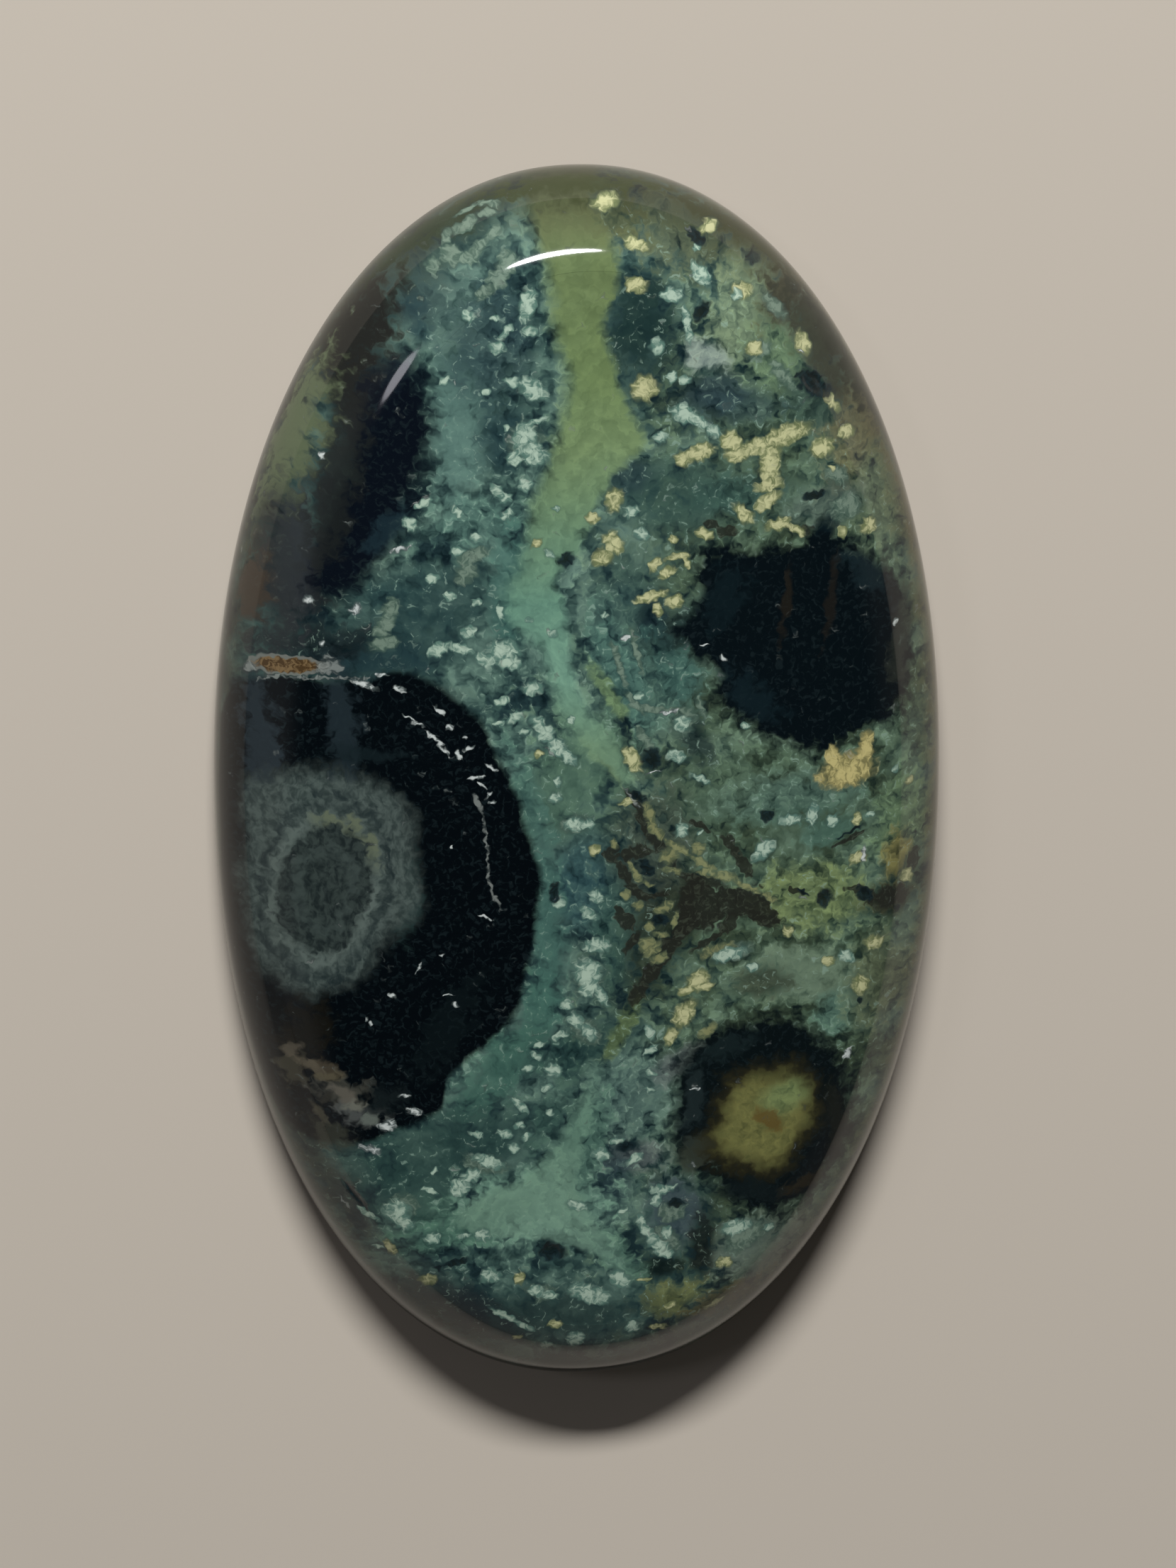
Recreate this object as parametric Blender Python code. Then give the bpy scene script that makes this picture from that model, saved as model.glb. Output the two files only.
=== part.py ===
"""An oval cabochon of kambaba jasper: one polished stone with a flat back, a narrow
upright girdle, a sloping shoulder and a low domed crown.

Metres, +Z up. The origin is the middle of the flat back and the long axis lies along Y.
Run it with blender --background --python part.py, or from Blender's text editor.
"""

import math

import bmesh
import bpy
from mathutils import Vector

MM = 0.001

# The stone's overall size, and how far its oval is from a true ellipse (which is 2).
LENGTH = 51.0 * MM
WIDTH = 30.0 * MM
THICKNESS = 7.0 * MM
OVAL_POWER = 2.11

# The cross-section, from the rim inwards.
BACK_BEVEL = 0.55 * MM
BACK_BEVEL_RADIUS = 0.5 * MM
GIRDLE_TOP = 2.6 * MM
GIRDLE_RADIUS = 4.0 * MM
SHOULDER_INSET = 2.7 * MM
SHOULDER_HEIGHT = 5.3 * MM
SHOULDER_RADIUS = 3.4 * MM

# Past this distance in from the rim, the rings stop following the rim and shrink towards
# the middle instead, so that they all close on one point.
RING_BLEND_START = 3.0 * MM
RING_BLEND_END = 9.0 * MM

SEGMENTS = 96
CROWN_RINGS = 10
ARC_STEP = math.radians(11.0)

STONE_GREEN = (0.035, 0.075, 0.07, 1.0)
POLISH_ROUGHNESS = 0.12

HALF_WIDTH = WIDTH / 2
HALF_LENGTH = LENGTH / 2


def clear_scene():
    for obj in list(bpy.data.objects):
        bpy.data.objects.remove(obj)


def filleted(corner, before, after, radius):
    """The corner rounded with an arc of this radius that touches both of its sides."""
    to_before = (before - corner).normalized()
    to_after = (after - corner).normalized()
    half_angle = to_before.angle(to_after) / 2
    reach = radius / math.tan(half_angle)
    centre = corner + (to_before + to_after).normalized() * (radius / math.sin(half_angle))
    start = corner + to_before * reach - centre
    end = corner + to_after * reach - centre
    turn = start.angle(end)
    steps = max(2, math.ceil(turn / ARC_STEP))
    points = []
    for i in range(steps + 1):
        share = i / steps
        weights = math.sin((1 - share) * turn), math.sin(share * turn)
        points.append(centre + (start * weights[0] + end * weights[1]) / math.sin(turn))
    return points


def crown_arc():
    """The crown, from the middle out to the shoulder: a large circle, level at the middle."""
    reach = HALF_WIDTH - SHOULDER_INSET
    rise = THICKNESS - SHOULDER_HEIGHT
    radius = (reach**2 + rise**2) / (2 * rise)
    widest = math.asin(reach / radius)
    points = []
    for i in range(CROWN_RINGS + 1):
        angle = widest * i / CROWN_RINGS
        points.append(
            Vector((HALF_WIDTH - radius * math.sin(angle), THICKNESS - radius * (1 - math.cos(angle))))
        )
    return points


def section():
    """The cross-section from the crown's middle down to the back's middle, each point as
    (distance in from the rim, height)."""
    crown = crown_arc()
    shoulder = crown[-1]
    girdle_top = Vector((0.0, GIRDLE_TOP))
    girdle_foot = Vector((0.0, BACK_BEVEL))
    back_edge = Vector((BACK_BEVEL, 0.0))
    back_middle = Vector((HALF_WIDTH, 0.0))
    rounded_shoulder = filleted(shoulder, crown[-2], girdle_top, SHOULDER_RADIUS)
    kept_crown = [p for p in crown if p.x > rounded_shoulder[0].x]
    return [
        *kept_crown,
        *rounded_shoulder,
        *filleted(girdle_top, shoulder, girdle_foot, GIRDLE_RADIUS),
        *filleted(girdle_foot, girdle_top, back_edge, BACK_BEVEL_RADIUS),
        back_edge,
        back_middle,
    ]


def rim_point(angle):
    """(point on the rim, its inward direction), in plan, at this angle round the stone."""
    aim = Vector((HALF_WIDTH * math.cos(angle), HALF_LENGTH * math.sin(angle)))
    across = abs(aim.x / HALF_WIDTH)
    along = abs(aim.y / HALF_LENGTH)
    point = aim / (across**OVAL_POWER + along**OVAL_POWER) ** (1 / OVAL_POWER)
    outward = Vector(
        (
            math.copysign(abs(point.x / HALF_WIDTH) ** (OVAL_POWER - 1) / HALF_WIDTH, point.x),
            math.copysign(abs(point.y / HALF_LENGTH) ** (OVAL_POWER - 1) / HALF_LENGTH, point.y),
        )
    )
    return point, -outward.normalized()


def oval_point(angle, inset):
    """Where a point this far in from the rim lies in plan."""
    point, inward = rim_point(angle)
    along_rim = point + inward * inset
    towards_middle = point * (1 - inset / HALF_WIDTH)
    share = (inset - RING_BLEND_START) / (RING_BLEND_END - RING_BLEND_START)
    share = min(max(share, 0.0), 1.0)
    share = share * share * (3 - 2 * share)
    return along_rim.lerp(towards_middle, share)


def turned_blank():
    """A round blank: the section spun a full turn, as wide as the stone is."""
    blank = bmesh.new()
    profile = [blank.verts.new((HALF_WIDTH - inset, 0.0, height)) for inset, height in section()]
    edges = [blank.edges.new(pair) for pair in zip(profile, profile[1:])]
    bmesh.ops.spin(
        blank,
        geom=profile + edges,
        cent=(0, 0, 0),
        axis=(0, 0, 1),
        angle=math.tau,
        steps=SEGMENTS,
        use_merge=True,
    )
    bmesh.ops.remove_doubles(blank, verts=blank.verts, dist=0.001 * MM)
    bmesh.ops.recalc_face_normals(blank, faces=blank.faces)
    return blank


def cut_to_oval(blank):
    """Moves each point of the round blank to its place in the oval, at the same height."""
    for vert in blank.verts:
        radius = math.hypot(vert.co.x, vert.co.y)
        if radius > 0.001 * MM:
            angle = math.atan2(vert.co.y, vert.co.x)
            vert.co.xy = oval_point(angle, HALF_WIDTH - radius)


def stone_material():
    material = bpy.data.materials.new("polished_jasper")
    material.use_nodes = True
    shader = material.node_tree.nodes["Principled BSDF"]
    shader.inputs["Base Color"].default_value = STONE_GREEN
    shader.inputs["Roughness"].default_value = POLISH_ROUGHNESS
    shader.inputs["Metallic"].default_value = 0.0
    return material


def make_cabochon(collection):
    blank = turned_blank()
    cut_to_oval(blank)
    mesh = bpy.data.meshes.new("cabochon")
    blank.to_mesh(mesh)
    blank.free()
    mesh.shade_smooth()
    mesh.set_sharp_from_angle(angle=math.radians(30))
    mesh.materials.append(stone_material())
    collection.objects.link(bpy.data.objects.new("cabochon", mesh))


def main():
    clear_scene()
    collection = bpy.data.collections.new("kambaba_jasper_cabochon")
    bpy.context.scene.collection.children.link(collection)
    make_cabochon(collection)


main()
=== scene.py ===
"""A polished kambaba jasper cabochon: the finished surface of the stone, its markings, and a plain
studio to show it in. Lengths are in metres. Those whose names end in MM, and those in the class
Markings, are in mm.
"""

import math

import bmesh
import bpy
from mathutils import Matrix, Vector


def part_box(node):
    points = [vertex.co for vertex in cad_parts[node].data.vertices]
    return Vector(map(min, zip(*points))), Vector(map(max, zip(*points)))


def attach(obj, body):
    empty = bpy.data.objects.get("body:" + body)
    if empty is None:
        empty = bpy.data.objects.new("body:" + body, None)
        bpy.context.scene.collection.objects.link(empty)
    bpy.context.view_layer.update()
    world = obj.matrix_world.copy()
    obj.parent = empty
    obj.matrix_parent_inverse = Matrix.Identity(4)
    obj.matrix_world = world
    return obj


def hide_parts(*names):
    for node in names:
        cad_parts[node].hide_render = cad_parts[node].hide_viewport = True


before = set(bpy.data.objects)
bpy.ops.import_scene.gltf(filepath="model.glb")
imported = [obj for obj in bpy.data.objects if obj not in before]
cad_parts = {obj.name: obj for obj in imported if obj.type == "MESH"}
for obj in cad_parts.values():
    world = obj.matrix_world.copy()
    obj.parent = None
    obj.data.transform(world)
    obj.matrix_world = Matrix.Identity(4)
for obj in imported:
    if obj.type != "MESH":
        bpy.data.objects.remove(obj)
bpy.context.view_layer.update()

bl_info = {
    "name": "Kambaba jasper cabochon",
    "version": (1, 0, 0),
    "blender": (4, 5, 0),
    "location": "3D View > Sidebar > Cabochon",
    "description": "Makes a polished kambaba jasper cabochon and a plain studio to show it in",
    "category": "Add Mesh",
}

MM = 0.001

STONE_LOW, STONE_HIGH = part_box("cabochon")
STONE_WIDTH = STONE_HIGH.x - STONE_LOW.x
STONE_LENGTH = STONE_HIGH.y - STONE_LOW.y
STONE_THICKNESS = STONE_HIGH.z - STONE_LOW.z

# The cut of the stone, the same as in the solid.
OVAL_POWER = 2.11
BACK_BEVEL = 0.55 * MM
BACK_BEVEL_RADIUS = 0.5 * MM
GIRDLE_TOP = 2.6 * MM
GIRDLE_RADIUS = 4.0 * MM
SHOULDER_INSET = 2.7 * MM
SHOULDER_HEIGHT = 5.3 * MM
SHOULDER_RADIUS = 3.4 * MM
RING_BLEND_START = 3.0 * MM
RING_BLEND_END = 9.0 * MM

SEGMENTS = 320
CROWN_RINGS = 84
ARC_STEP = math.radians(3.5)
SMALLEST_GAP = 0.001 * MM
WALL_STEP = 0.2 * MM
BACK_STEP = 0.8 * MM
SHARP_EDGE = math.radians(32)
BACK_FACES_BELOW = 0.02 * MM

# How far round a pit the mesh is looked at, and how far out of the pit it is made finer.
PIT_SURROUND = 1.5 * MM
LOWEST_PIT = 3.0 * MM
FINER_OUT_TO = 1.7

# Where a pit's wall starts and how wide it is, as shares of the pit's size.
PIT_WALL_STARTS = 1.1
PIT_WALL_WIDTH = 0.5

# Small open pits in the crown: (x, y, half length, half width, turn in degrees, depth), in mm.
PITS_MM = [
    (9.4, -3.7, 0.34, 0.27, 40, 0.09),
    (-1.8, -18.4, 0.42, 0.36, -30, 0.09),
    (-9.75, -16.05, 0.62, 0.13, -52, 0.07),
    (-1.75, -2.85, 0.36, 0.18, 75, 0.05),
    (8.9, 17.2, 0.6, 0.34, -38, 0.06),
]


def paint(code):
    """A screen colour such as "2f4a48" as the linear colour that a shader takes."""
    parts = [int(code[i : i + 2], 16) / 255 for i in (0, 2, 4)]
    return (*[p / 12.92 if p <= 0.04045 else ((p + 0.055) / 1.055) ** 2.4 for p in parts], 1.0)


# The markings, as they lie on the crown. Places are (x, y) in mm from the stone's middle.
HALF_WIDTH_MM = 15.0
HALF_LENGTH_MM = 25.5

# Where the markings start to carry on outwards, down the stone's edge.
CARRIED_BELOW_MM = 2.9

# How much wider a tint is drawn than it is listed, and how near its middle it starts and is full.
TINT_SPREAD = 1.12
TINT_STARTS = 0.34
TINT_IS_FULL = 0.76

# The most that the edges of the ground's tints, and of those inside the black areas, wander. With
# TINT_STARTS or more, a tint would show far from its place.
WANDER_CAP = 0.3
MOTTLING_CAP = 0.32

# The left and right edges of the pale vein that runs down the stone, as (y, left x, right x).
VEIN_EDGES_MM = [
    (25.5, -2.5, 0.6),
    (24.0, -2.4, 0.4),
    (23.0, -2.2, 0.9),
    (22.0, -1.75, 1.1),
    (21.0, -1.65, 0.9),
    (20.0, -1.5, 0.5),
    (19.0, -1.35, 0.55),
    (18.0, -1.25, 0.9),
    (17.0, -1.35, 1.35),
    (16.0, -1.55, 1.8),
    (15.2, -1.6, 2.0),
    (14.4, -1.7, 1.5),
    (13.6, -2.1, 0.65),
    (13.0, -2.4, 0.25),
    (12.0, -2.6, -0.3),
    (11.0, -3.0, -0.5),
    (10.4, -3.3, -1.3),
    (10.0, -3.5, -1.5),
    (9.0, -3.7, -1.1),
    (8.0, -3.2, -1.0),
    (7.0, -2.3, -0.9),
    (6.0, -2.0, -0.7),
    (5.0, -1.7, -0.35),
    (4.0, -1.2, 0.1),
    (3.0, -0.6, 0.75),
    (2.2, 0.3, 1.3),
    (1.4, 1.2, 1.5),
    (1.0, 2.2, 1.0),
    (-9.4, 1.2, 0.0),
    (-10.0, 0.0, 0.25),
    (-11.0, -0.4, 0.1),
    (-12.0, -0.85, -0.12),
    (-13.0, -1.25, -0.38),
    (-14.0, -2.0, -0.65),
    (-15.0, -3.0, -0.75),
    (-16.0, -5.0, -0.5),
    (-17.0, -5.9, 0.0),
    (-17.6, -4.2, 0.4),
    (-18.2, -1.0, 0.85),
    (-19.0, 0.75, 1.4),
    (-19.7, 1.5, 1.6),
    (-20.4, 2.4, 1.4),
]

# The vein's colour down the stone.
VEIN_COLOURS = [
    (25.5, "484d33"),
    (23.6, "5b6444"),
    (22.3, "5f6f49"),
    (18.0, "64784e"),
    (15.0, "6c825b"),
    (12.0, "638064"),
    (9.0, "5d8371"),
    (6.0, "6a907d"),
    (3.0, "66846a"),
    (-10.0, "638273"),
    (-13.0, "5e7f6e"),
    (-16.3, "6c8b78"),
    (-20.0, "688879"),
]

# Broad tints of the ground: (x, y, half length, half width, turn in degrees, colour, strength).
GROUND_TINTS_MM = [
    (8.5, 1.0, 24.0, 7.5, 90, "53613f", 0.4),
    (-5.3, 15.8, 3.0, 1.0, 86, "54726a", 0.85),
    (-4.6, 12.0, 1.6, 1.2, 0, "4f6f66", 0.5),
    (-7.0, 21.2, 1.6, 1.9, 60, "3d524e", 0.75),
    (-4.0, 19.2, 2.2, 1.5, 80, "2c4043", 0.8),
    (-3.6, 15.6, 0.9, 1.1, 0, "1f353a", 0.75),
    (1.8, 19.7, 1.9, 1.15, 90, "1b2f2e", 0.92),
    (3.6, 23.4, 2.6, 1.6, -15, "4a5340", 0.8),
    (6.3, 20.2, 2.3, 1.5, 60, "6d7f66", 0.75),
    (5.0, 17.0, 1.5, 0.8, 10, "27383f", 0.8),
    (4.5, 18.4, 0.9, 0.55, -20, "7a8983", 0.8),
    (7.5, 18.6, 1.6, 1.3, 70, "627a5e", 0.7),
    (9.3, 16.2, 1.8, 1.0, -20, "2b3f3a", 0.7),
    (11.0, 15.5, 2.6, 1.1, 60, "615f45", 0.75),
    (8.5, 20.9, 1.9, 1.0, 45, "3a382b", 0.9),
    (11.8, 12.5, 2.0, 1.3, 70, "57664f", 0.7),
    (9.3, 12.5, 1.6, 0.7, 10, "46534f", 0.6),
    (3.3, 13.0, 2.6, 1.4, 0, "35504b", 0.6),
    (1.4, 13.8, 0.9, 0.6, 20, "22343a", 0.7),
    (1.0, 8.0, 2.4, 1.3, 80, "38524f", 0.6),
    (2.2, 8.2, 0.9, 0.6, 90, "14242b", 0.85),
    (2.4, 5.4, 1.9, 1.5, 40, "42605a", 0.6),
    (-3.4, 9.6, 2.2, 0.8, 86, "41665e", 0.6),
    (-7.4, 8.6, 2.6, 1.6, 10, "22393b", 0.75),
    (-9.6, 19.4, 2.4, 1.7, 60, "1b1c19", 0.93),
    (-11.9, 15.3, 2.6, 1.2, 75, "525c48", 0.9),
    (-12.0, 10.6, 3.2, 1.5, 90, "1d2224", 0.9),
    (-13.4, 9.6, 1.6, 0.8, 80, "3f3526", 0.7),
    (-10.8, 7.2, 2.6, 0.9, 0, "161f22", 0.9),
    (-1.0, 1.8, 2.6, 1.7, 60, "4b6757", 0.8),
    (-0.6, -2.6, 1.9, 1.3, 80, "2f4c50", 0.75),
    (-1.95, -4.4, 3.6, 0.62, 92, "41625a", 0.92),
    (-2.6, 0.6, 2.6, 0.5, 108, "42625a", 0.75),
    (-2.4, -7.8, 1.9, 0.8, 70, "41655b", 0.85),
    (-3.9, -10.3, 2.2, 1.0, 50, "3f6257", 0.8),
    (-6.6, -14.2, 4.0, 1.7, 20, "2b433f", 0.8),
    (-0.7, -9.5, 2.0, 0.9, 20, "29433f", 0.6),
    (1.5, -11.6, 2.1, 1.5, 90, "516a63", 0.8),
    (5.0, 0.8, 2.6, 1.3, 20, "4a5f4e", 0.8),
    (8.4, 0.6, 2.6, 0.9, 10, "435f55", 0.7),
    (12.7, -0.8, 1.8, 1.1, 70, "5b7256", 0.85),
    (9.6, -0.9, 1.2, 0.6, 10, "4a6b60", 0.6),
    (8.9, -3.6, 2.3, 1.3, -8, "65754f", 0.85),
    (12.6, -2.4, 1.1, 0.7, 90, "6f6a40", 0.85),
    (12.3, -4.1, 1.3, 0.7, 0, "26241a", 0.85),
    (8.6, -6.8, 2.4, 1.1, -10, "657965", 0.85),
    (10.0, -8.7, 0.9, 0.8, 70, "4f6c60", 0.8),
    (11.9, -7.6, 1.9, 1.2, 80, "566049", 0.75),
    (6.9, -7.0, 1.3, 0.6, 0, "2b3127", 0.75),
    (3.4, -10.3, 1.4, 0.5, 35, "5b6463", 0.7),
    (1.7, -14.4, 1.3, 0.6, 0, "56605f", 0.75),
    (0.6, -15.6, 1.6, 0.7, 80, "26383e", 0.8),
    (3.3, -16.9, 1.5, 1.2, 90, "3d4b52", 0.8),
    (6.8, -18.9, 2.0, 1.3, 10, "6c7b6e", 0.85),
    (4.5, -18.5, 1.5, 0.5, 88, "161d1c", 0.9),
    (2.8, -19.4, 0.9, 0.5, 0, "14201e", 0.92),
    (3.3, -20.9, 1.2, 0.8, 10, "616843", 0.85),
    (-1.6, -21.4, 3.4, 1.0, 0, "293a38", 0.85),
    (-5.4, -21.3, 2.2, 1.2, -30, "1f2a2d", 0.85),
    (-4.6, -17.1, 2.7, 0.7, 12, "46675a", 0.8),
    (-7.0, -16.6, 1.6, 0.9, 20, "38544a", 0.7),
    (5.6, -21.3, 1.7, 0.6, 20, "5c5739", 0.8),
    (-10.8, -15.4, 2.6, 0.7, -60, "2c2f2c", 0.7),
    (-7.0, 20.6, 0.55, 0.55, 0, "22383c", 0.85),
    (-6.6, 19.6, 0.4, 0.45, 0, "22383c", 0.8),
    (-4.7, 23.0, 1.0, 0.5, 40, "20393a", 0.7),
    (0.9, 23.9, 1.4, 0.9, -20, "4f563a", 0.75),
    (2.2, -1.4, 2.6, 1.6, 80, "38413a", 0.75),
    (2.4, -4.9, 2.2, 1.2, 60, "1f261e", 0.8),
    (0.6, -4.6, 2.4, 0.8, 88, "33504a", 0.6),
    (0.9, 6.0, 2.6, 0.7, -70, "45655d", 0.7),
    (3.0, 6.3, 1.6, 0.7, -60, "365550", 0.7),
    (5.8, 13.0, 2.0, 0.7, 5, "2f4843", 0.7),
    (6.0, 16.4, 1.6, 0.6, 0, "26393f", 0.6),
    (0.5, 5.2, 1.4, 0.25, -66, "5f7654", 0.8),
    (-2.5, -16.3, 2.9, 1.4, 0, "6a8d7c", 0.85),
    (-0.2, -13.6, 2.4, 0.6, 72, "4c6b5f", 0.7),
    (0.9, -18.6, 1.5, 0.6, -50, "527264", 0.75),
    (-1.9, -12.3, 1.8, 0.55, 66, "36514a", 0.6),
    (-5.5, -17.2, 2.8, 0.8, 20, "47685b", 0.7),
    (4.4, 8.2, 1.0, 0.9, 0, "2c4441", 0.6),
    (7.6, 0.9, 3.0, 0.8, 6, "4f665a", 0.6),
    (4.0, 3.2, 1.1, 0.6, 110, "172528", 0.85),
    (0.9, -8.8, 1.4, 0.3, 62, "4f6040", 0.8),
    (0.2, 2.6, 1.3, 0.2, -50, "5f6f4c", 0.7),
    (3.0, 7.6, 0.9, 0.5, 60, "1a2a2d", 0.7),
    (-8.6, 5.9, 3.0, 0.6, -14, "1c2d2f", 0.8),
]

# Tints inside the black areas and along the head and foot, the same way. Some of them are painted
# reflections and painted shade.
ORB_TINTS_REFLECTIONS_AND_SHADE_MM = [
    # Painted reflections: two hazy bluish-grey bands down the left slope.
    (-10.1, 4.4, 2.4, 0.6, 92, "222d32", 0.75),
    (-13.2, 3.2, 2.6, 0.6, 92, "273238", 0.7),
    (-8.2, 6.7, 1.7, 0.55, 4, "20363a", 0.75),
    (-9.3, 2.9, 1.3, 0.3, 0, "141f22", 0.7),
    (-7.5, -3.0, 1.7, 0.42, 84, "2b3f3d", 0.55),
    (-11.6, -8.9, 1.5, 0.8, 80, "15140f", 0.85),
    (-12.1, -10.5, 0.75, 0.5, 80, "3c3b30", 0.8),
    (-11.0, -10.35, 0.62, 0.28, -15, "453f33", 0.8),
    (-10.2, -11.4, 1.0, 0.62, -10, "3d3e38", 0.95),
    (-9.7, -12.15, 0.95, 0.42, -10, "4c504e", 0.85),
    (-10.6, -13.4, 0.9, 0.5, -20, "33362d", 0.8),
    (-8.6, -11.6, 1.0, 0.5, 40, "171f20", 0.7),
    (-12.1, -9.8, 0.45, 0.2, 40, "524d42", 0.8),
    (-11.5, -10.3, 0.5, 0.2, -20, "5a5446", 0.8),
    (-10.8, -10.7, 0.45, 0.18, 10, "55503f", 0.8),
    (-10.3, -11.3, 0.5, 0.25, -30, "5c5950", 0.8),
    (-9.7, -11.8, 0.45, 0.2, 20, "67695f", 0.8),
    (-10.9, -11.6, 0.4, 0.15, 60, "2a2a24", 0.8),
    (-11.2, -12.4, 0.45, 0.18, -50, "4a483c", 0.8),
    (-9.1, -12.4, 0.45, 0.2, 0, "5f6760", 0.8),
    (-6.0, -8.6, 2.4, 0.7, 60, "0e1719", 0.6),
    (-11.6, 11.2, 2.6, 0.75, 86, "2a2f33", 0.75),
    (-9.6, 16.8, 1.9, 0.55, 82, "1a1b17", 0.75),
    (-8.2, 11.8, 1.2, 0.45, 52, "1b2c33", 0.7),
    (-7.6, 18.2, 0.9, 0.5, 60, "111a22", 0.6),
    (7.7, 8.8, 1.5, 0.16, 82, "211e18", 0.7),
    (9.5, 8.6, 1.6, 0.16, 82, "1e1c18", 0.7),
    (12.6, 6.6, 2.0, 0.42, 86, "262b26", 0.8),
    (11.0, 9.6, 1.1, 0.5, -40, "18262a", 0.7),
    (5.2, 8.9, 1.3, 0.8, 60, "0f1c20", 0.7),
    (6.3, 4.9, 1.5, 0.6, -40, "122025", 0.7),
    (9.4, 11.7, 0.42, 0.36, 0, "0d1a1f", 0.8),
    (-9.4, 19.6, 2.4, 1.3, 58, "181917", 0.9),
    (-10.2, 13.4, 3.2, 0.85, 77, "191d1d", 0.92),
    (-11.9, 15.4, 3.4, 1.1, 67, "535e46", 0.88),
    (-12.7, 9.4, 3.0, 1.1, 84, "252a2c", 0.75),
    (-13.5, 9.4, 1.2, 0.6, 84, "3e3429", 0.7),
    (9.3, 18.9, 2.9, 1.1, -60, "262a20", 0.9),
    (4.2, -14.2, 0.75, 0.55, 60, "343a31", 0.8),
    # Painted reflection: dark olive-brown bands along the rim at the head, for the brown
    # surroundings reflected there.
    (10.9, 18.0, 4.2, 0.8, -58, "1f241b", 0.85),
    (6.2, 23.4, 3.4, 0.7, -32, "31341f", 0.8),
    (-5.8, 23.9, 3.6, 0.8, 30, "26311f", 0.75),
    (-0.5, 25.2, 3.6, 0.7, 0, "333a20", 0.8),
    # Painted shade: near-black green bands along the rim at the foot.
    (1.0, -25.0, 4.6, 0.9, 2, "0e1613", 0.85),
    (-6.8, -23.2, 5.2, 0.9, -34, "10170f", 0.8),
    (8.6, -22.2, 5.0, 0.8, 42, "191d14", 0.75),
    (8.7, -16.3, 0.8, 0.36, 10, "2a2519", 0.8),
    (3.9, -12.0, 1.5, 0.5, 90, "202b2c", 0.75),
    (5.4, -9.7, 1.2, 0.5, 30, "1a2627", 0.65),
    (10.1, -13.3, 1.4, 0.4, 95, "1c1f19", 0.7),
    (6.6, -16.2, 1.2, 0.5, -10, "141d1e", 0.7),
]

# The black areas, each as its middle and the points round its edge.
LEFT_ORB_MM = (
    (-8.5, -3.5),
    [
        (-13.0, 5.8), (-11.5, 6.0), (-10.0, 5.9), (-8.8, 6.1), (-7.6, 6.25), (-6.6, 5.95),
        (-5.7, 5.3), (-5.0, 4.7), (-4.4, 4.0), (-4.0, 3.0), (-3.45, 2.0), (-3.0, 1.0),
        (-2.75, 0.0), (-2.4, -1.0), (-2.2, -2.0), (-2.3, -3.0), (-2.4, -4.0), (-2.55, -5.0),
        (-2.8, -6.0), (-3.05, -7.0), (-3.4, -8.0), (-4.1, -9.0), (-5.3, -10.0), (-6.0, -10.7),
        (-6.2, -12.0), (-7.1, -12.6), (-8.2, -13.0), (-9.3, -13.6), (-10.5, -13.6),
        (-11.5, -13.8), (-12.8, -13.0), (-14.0, -11.0), (-15.2, -8.0), (-15.8, -3.0),
        (-15.6, 2.0), (-14.3, 5.2),
    ],
)  # fmt: skip
RIGHT_ORB_MM = (
    (8.6, 6.8),
    [
        (3.9, 10.7), (4.8, 10.95), (6.0, 11.1), (7.2, 11.1), (8.3, 11.1), (9.0, 11.9),
        (9.5, 12.0), (9.9, 11.3), (10.6, 10.9), (11.3, 10.5), (12.0, 9.9), (12.6, 9.0),
        (13.1, 7.6), (13.3, 6.0), (13.2, 4.6), (12.8, 3.7), (12.0, 3.2), (11.2, 3.0),
        (10.4, 2.7), (9.4, 2.4), (8.4, 2.35), (7.5, 2.7), (6.7, 3.0), (5.9, 3.7), (5.3, 4.2),
        (4.7, 4.8), (4.6, 5.5), (4.2, 6.2), (3.5, 6.8), (3.0, 7.6), (3.3, 8.4), (3.8, 9.2),
        (3.85, 10.0),
    ],
)  # fmt: skip
UPPER_PATCH_MM = (
    (-8.6, 13.8),
    [
        (-6.6, 18.3), (-6.3, 17.3), (-6.1, 16.3), (-6.25, 15.0), (-6.35, 14.0), (-6.7, 13.2),
        (-7.2, 12.2), (-7.8, 11.2), (-8.3, 10.5), (-9.0, 9.8), (-9.7, 9.0), (-10.4, 8.6),
        (-11.3, 8.7), (-11.6, 10.0), (-11.0, 11.5), (-10.6, 12.5), (-10.2, 14.0),
        (-10.0, 15.5), (-9.9, 17.0), (-9.2, 18.3), (-8.0, 18.9), (-7.2, 18.8),
    ],
)  # fmt: skip
RING_ORB_MM = (
    (7.1, -12.9),
    [
        (4.3, -8.9), (5.2, -8.4), (6.2, -8.4), (7.2, -8.3), (8.0, -8.5), (8.8, -9.0),
        (9.6, -9.6), (10.2, -10.1), (10.7, -11.0), (11.0, -12.0), (11.3, -13.2),
        (11.2, -14.6), (10.6, -15.8), (9.8, -16.6), (8.8, -17.3), (7.6, -17.6), (6.6, -17.5),
        (5.7, -17.1), (5.1, -16.3), (4.6, -15.5), (3.6, -15.0), (3.1, -14.0), (3.0, -12.5),
        (3.0, -11.0), (3.6, -9.8),
    ],
)  # fmt: skip
OLIVE_DISC_MM = (
    (7.2, -13.0),
    [
        (5.6, -11.4), (6.3, -10.95), (7.3, -10.85), (8.3, -11.0), (9.0, -11.8), (9.1, -12.8),
        (8.9, -13.8), (8.4, -14.8), (7.6, -15.3), (6.5, -15.2), (5.5, -14.8), (4.8, -14.1),
        (5.1, -13.0), (5.3, -12.2),
    ],
)  # fmt: skip
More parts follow.
